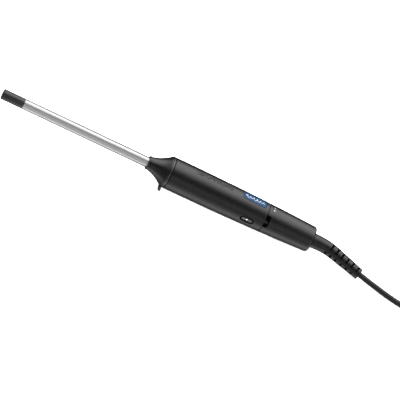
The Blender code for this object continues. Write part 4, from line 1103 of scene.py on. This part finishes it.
def hank_point(turn_share):
    """A point of the hank's line, at so many turns from where the cord enters it."""
    turn = min(int(turn_share), len(TURN_PLACES) - 1)
    share = turn_share - turn
    column, layer = TURN_PLACES[turn]
    if turn < len(TURN_SHIFTS):
        start, end = TURN_SHIFTS[turn]
        shift = ease((share - start) / (end - start))
        next_column, next_layer = TURN_PLACES[turn + 1]
        column += (next_column - column) * shift
        layer += (next_layer - layer) * shift
    if turn in (CROSSED, CROSSED + 1):
        aside = crossing(share)[turn - CROSSED]
        column -= aside
        layer += aside
    radius = HANK_LOOP_RADIUS - 2 * CORD_RADIUS * column
    waist = HANK_WAIST_LINE - 2 * CORD_RADIUS * column
    half = 1 if share >= 0.5 else 0
    along = share - 0.5 * half
    if along < RUN_SHARE:
        x = HANK_LOOP_CENTRE * (2 * along / RUN_SHARE - 1)
        reach = (HANK_LOOP_CENTRE - abs(x)) / (HANK_LOOP_CENTRE - HANK_WAIST_HALF_LENGTH)
        y = -(radius + (waist - radius) * ease(reach))
    else:
        angle = math.pi * (along - RUN_SHARE) / (0.5 - RUN_SHARE) - math.pi / 2
        x = HANK_LOOP_CENTRE + radius * math.cos(angle)
        y = radius * math.sin(angle)
    if half:
        x, y = -x, -y
    lift = HANK_LIFT * ease((HANK_LIFT_FROM - abs(x)) / HANK_LIFT_OVER)
    z = CORD_RADIUS * (1 + 2 * layer) + lift
    return Vector((HANK_CENTRE[0] + x, HANK_CENTRE[1] + y, z))


def cord():
    """The whole cord on one line: out of the boot, along the table, round the hank, to the plug."""
    inside_boot = [(204.9, -9.7, 6.9), (208.6, -10.95, 6.42)]
    inside_plug = [(431.0, -14.7, 6.85)]
    last = len(TURN_PLACES) - 1 + RUN_SHARE
    count = round(last * TURN_SAMPLES)
    turns = [hank_point(last * i / count) for i in range(1, count)]
    keys = in_metres(inside_boot + CORD_LEAD) + turns + in_metres(CORD_TAIL + inside_plug)
    line = smooth_line(keys, CORD_SPACING)
    made = finished(curve_piece("mains_cord", [line], CORD_RADIUS, resolution=8), rubber)
    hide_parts("cord_lead", "cord_hank", "cord_tail")
    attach(made, "cord_side")
    return made


cord_piece = cord()


def hank_tie():
    """A strap of hook tape round the hank's waist, its end lapped over its beginning."""
    gap = 0.15 * mm  # to the cord, and between the strap's two layers
    layer = TIE_THICKNESS + gap
    half_width = 2 * CORD_RADIUS + HANK_WAIST_LINE - CORD_RADIUS + gap
    half_height = 3 * CORD_RADIUS + gap
    corner, edge = 1.6 * mm, 0.25 * mm
    middle = TIE_THICKNESS / 2
    width, height = 2 * (half_width + middle), 2 * (half_height + middle)
    outline = rounded(width, height, corner + middle, 10)
    lap_from = next(i for i, (y, z) in enumerate(outline) if z > half_height and y < 0)
    once = outline[lap_from:] + outline[:lap_from]
    line = smooth_ring([Vector(p) for p in once], TIE_SPACING)
    total = len(line)
    lap = round(0.17 * total)  # down to the foot of its side
    rise_steps = 8
    path = []
    for i in range(total + lap):
        here, following = line[i % total], line[(i + 1) % total]
        before = line[(i - 1) % total]
        out = Vector(((following - before).y, -(following - before).x)).normalized()
        rise = layer * ease((i - total + rise_steps / 2) / rise_steps)
        path.append((here + out * rise, out))
    section = rounded(TIE_WIDTH, TIE_THICKNESS, edge, 3)
    x, y = HANK_CENTRE
    z = HANK_LIFT + 3 * CORD_RADIUS
    rings = [
        [
            (x + width, y + (here + out * height).x, z + (here + out * height).y)
            for width, height in section
        ]
        for here, out in path
    ]
    tie = finished(piece("hank_strap", rings_to_mesh(rings, capped=True), TABLE), hook_tape)
    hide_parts("hank_tie")
    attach(tie, "cord_side")
    return tie


def smooth_ring(points, spacing):
    """A closed outline's points, about evenly spaced."""
    line = []
    for start, end in zip(points, points[1:] + points[:1]):
        steps = max(1, round((end - start).length / spacing))
        line += [start.lerp(end, i / steps) for i in range(steps)]
    return line


def oval(half_width, half_height, power):
    """A superellipse: a circle's outline at power 2, squarer as power grows."""

    def pulled(size, value):
        return size * math.copysign(abs(value) ** (2 / power), value)

    return [
        (pulled(half_width, math.cos(angle)), pulled(half_height, math.sin(angle)))
        for angle in full_turn(OVAL_STEPS)
    ]


def plug():
    """A flat two-pin plug: a ribbed relief, a body that widens to the grip, and sleeved pins."""
    y, z = CORD_TAIL[-1][1] * mm, PLUG_HEIGHT / 2
    body_from = PLUG_REAR + PLUG_RELIEF_LENGTH
    body_to = body_from + PLUG_BODY_LENGTH
    rings = []

    def section(station, half_width, half_height, power):
        rings.append([(station, y + a, z + b) for a, b in oval(half_width, half_height, power)])

    root, rib, ribs, rib_pitch = 3.5 * mm, 0.75 * mm, 6, 3.0 * mm
    growth = 0.22 * mm  # of the radius, from each rib to the next
    # A rib's outline: how far along it in millimetres, and the share of its height.
    profile = ((0.0, 0.0), (0.2, 0.9), (0.5, 1.0), (1.5, 1.0), (1.8, 0.9), (2.0, 0.0))
    end, first_rib = root - 0.5 * mm, PLUG_REAR + 0.6 * mm
    section(PLUG_REAR, end, end, 2)
    for k in range(ribs):
        for along, rise in profile:
            radius = root + growth * k + rib * rise
            section(first_rib + k * rib_pitch + along * mm, radius, radius, 2)
    neck, grip, squareness = 4.9 * mm, 14 * mm, 0.9  # its height is full before its width is
    neck_from, full_from = first_rib + ribs * rib_pitch, body_from + grip
    steps = 24
    for k in range(steps + 1):
        share = k / steps
        wide, high = ease(share), ease(min(1.6 * share, 1.0))
        section(
            neck_from + (full_from - neck_from) * share,
            neck + (PLUG_WIDTH / 2 - neck) * wide,
            neck + (PLUG_HEIGHT / 2 - neck) * high,
            2 + squareness * share,
        )
    front = 1.2 * mm
    section(body_to - front - 4 * mm, PLUG_WIDTH / 2, PLUG_HEIGHT / 2, 3.0)
    for inset, drop in quarter(front):
        section(body_to - drop, PLUG_WIDTH / 2 - inset, PLUG_HEIGHT / 2 - inset, 3.0)
    body = piece("plug_body_fine", rings_to_mesh(rings, capped=True), TABLE)
    finished(body, rubber)
    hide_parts("plug_body")
    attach(body, "cord_side")
    made = [body]
    sleeve_bore, core, tip = 1.6 * mm, 1.55 * mm, 1.95 * mm
    for end, side in (("near", -1), ("far", 1)):
        at = Vector((body_to, y + side * PLUG_PIN_SPACING / 2, z))
        sleeve_outline = filleted(
            (-2 * mm, sleeve_bore, 0),
            (-2 * mm, PLUG_PIN_RADIUS, 0),
            (PLUG_PIN_SLEEVE, PLUG_PIN_RADIUS, 0.25 * mm),
            (PLUG_PIN_SLEEVE, sleeve_bore, 0),
        )
        pin_outline = filleted(
            (0, 0, 0),
            (0, core, 0),
            (PLUG_PIN_SLEEVE + 0.1 * mm, core, 0),
            (PLUG_PIN_SLEEVE + 0.1 * mm, tip, 0.1 * mm),
            (PLUG_PIN_LENGTH, tip, 1.4 * mm),
            (PLUG_PIN_LENGTH, 0, 0),
        )
        for name, outline, look in (
            (f"plug_pin_sleeve_{end}", sleeve_outline, handle_plastic),
            (f"plug_pin_{end}", pin_outline, pin_metal),
        ):
            made.append(turned(f"{name}_fine", outline, PIN_STEPS))
            made[-1].matrix_world = Matrix.Translation(at)
            finished(made[-1], look)
            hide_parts(name)
            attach(made[-1], "cord_side")
    return made


boot_piece = boot()
strap = hank_tie()
plug_pieces = plug()

cool_tip()
barrel()
nose_cone()
handle_sleeve()
badge()
badge_motif()
power_button()
temperature_collar()
collar_dots()


# -------- the CAD's inner pieces
def inner_looks():
    """A procedural finish for each inner piece that the CAD gives as it is."""
    looks = {
        "steel": metal("steel_fine", (0.55, 0.56, 0.57), 0.35, along=1.0),
        "aluminium": metal("aluminium_fine", (0.7, 0.7, 0.72), 0.4),
        "ceramic": moulded("ceramic_fine", (0.86, 0.84, 0.79), 0.6),
        "brass": metal("brass_fine", (0.72, 0.55, 0.24), 0.3, along=1.0),
        "board": moulded("board_fine", (0.03, 0.2, 0.08), 0.5),
        "grey_plastic": moulded("grey_plastic_fine", (0.3, 0.3, 0.31), 0.5),
        "component": moulded("component_fine", (0.05, 0.05, 0.06), 0.45),
        "capacitor_yellow": moulded("capacitor_fine", (0.75, 0.52, 0.06), 0.4),
        "wire_insulation": moulded("insulation_fine", (0.45, 0.44, 0.42), 0.6),
        "clear_lens": lens_clear,
        # Near-black and dull: partly the inner plastic's own black and partly painted shade, so
        # that the spigot under the collar's notches reads as the shade in them.
        "black_plastic": moulded("spigot_painted_shade", (0.002, 0.002, 0.002), 0.7, Specular_IOR_Level=0.1),
    }
    for part in frame["record"]["subparts"]:
        made = frame["nodes"][part["node"]]
        if not made.hide_render:
            finished(made, looks[part["material_slot"]])


inner_looks()


# -------- stage
def floor():
    """A wide pale sheet under the object."""
    reach, squares = 3.0, 24
    bm = bmesh.new()
    bmesh.ops.create_grid(bm, x_segments=squares, y_segments=squares, size=reach)
    paper = moulded("floor_paper", (0.8, 0.8, 0.8), 0.9, grain=1.2 * mm)
    made = finished(piece("floor", bm, TABLE), paper)
    made.visible_glossy = False  # so that the object reflects the studio's walls alone
    return made


def world():
    """The studio's walls as the object sees them: a gradient with the direction."""
    made = bpy.data.worlds.new("studio")
    bpy.context.scene.world = made
    made.use_nodes = True
    walls = Nodes(made.node_tree)
    x, y, z = walls.axes(walls.node("ShaderNodeTexCoord").outputs["Generated"])
    angle = walls.math("ARCTAN2", z, walls.math("MULTIPLY", y, -1.0))
    most = max(level for _, level in WALL_LEVELS)
    around = [((degrees + 180) / 360, level / most) for degrees, level in WALL_LEVELS]
    dim, glow = ([((at + 1) / 2, level) for at, level in wall] for wall in (END_WALLS, REAR_WALL))
    mixed = walls.node("ShaderNodeVectorMath", operation="MULTIPLY_ADD")
    spreads = ((angle, math.pi, around), (x, 1.0, dim), (x, 1.0, glow))
    for (source, reach, stops), socket in zip(spreads, mixed.inputs):
        walls.feed(socket, gradient(walls, source, reach, stops))
    walls.fed(made.node_tree.nodes["Background"], Color=mixed.outputs[0], Strength=most)


def gradient(nodes, source, reach, stops):
    """A grey that follows source, from -reach to reach, through (place, level) stops."""
    ramp = nodes.node("ShaderNodeValToRGB")
    band = ramp.color_ramp
    band.interpolation = "EASE"
    while len(band.elements) < len(stops):
        band.elements.new(0.5)
    for element, (place, level) in zip(band.elements, stops):
        element.position = place
        element.color = (level, level, level, 1.0)
    return nodes.fed(ramp, "Color", Fac=nodes.ramp(source, -reach, reach))


# The walls' brightness by direction round the wand, in degrees: 0 looks to the button's side, 90
# straight up and 180 to the far side.
WALL_LEVELS = (
    (-180, 0.08), (-105, 0.15), (-89, 0.3), (-75, 1.15), (-58, 1.95), (-35, 0.95), (-19, 0.42),
    (-4, 0.35), (14, 0.68), (26, 0.28), (40, 0.04), (54, 0.04), (64, 0.25), (73, 1.0), (84, 2.1),
    (98, 3.1), (118, 3.4), (134, 3.0), (150, 1.4), (162, 0.2), (172, 0.05),
)
# By how much the walls ahead of the tip and behind the cord are dimmed, by the direction's X, and
# the glow of the part of the rear wall beside the cord.
END_WALLS = ((-0.85, 0.25), (-0.4, 1.0), (0.65, 1.0), (0.9, 0.25))
REAR_WALL = ((0.4, 0.0), (0.5, 0.3), (0.62, 0.3), (0.85, 0.0))


def lamp(name, place, size, power):
    """A soft lamp over the object, which is seen by its light only."""
    made = added(name, bpy.data.lights.new(name, "AREA"), TABLE)
    made.data.shape = "RECTANGLE"
    made.data.size, made.data.size_y = size
    made.data.energy = power
    made.location = place
    made.rotation_euler = (-Vector(place)).to_track_quat("-Z", "Y").to_euler()
    made.visible_camera = False
    made.visible_glossy = False
    return made


def lights(paper):
    """A broad lamp over the object, and a wash that keeps the paper under it evenly white."""
    lamp("key_light", place=(0.1, 0.3, 1.8), size=(2.2, 1.6), power=4)
    wash = lamp("paper_wash", place=(0.1, 0.0, 3.0), size=(4.0, 4.0), power=270)
    only_paper = bpy.data.collections.new("paper_only")
    only_paper.objects.link(paper)
    wash.light_linking.receiver_collection = only_paper
    wash.light_linking.blocker_collection = only_paper


world()
lights(floor())

bpy.context.scene.view_settings.view_transform = "Standard"
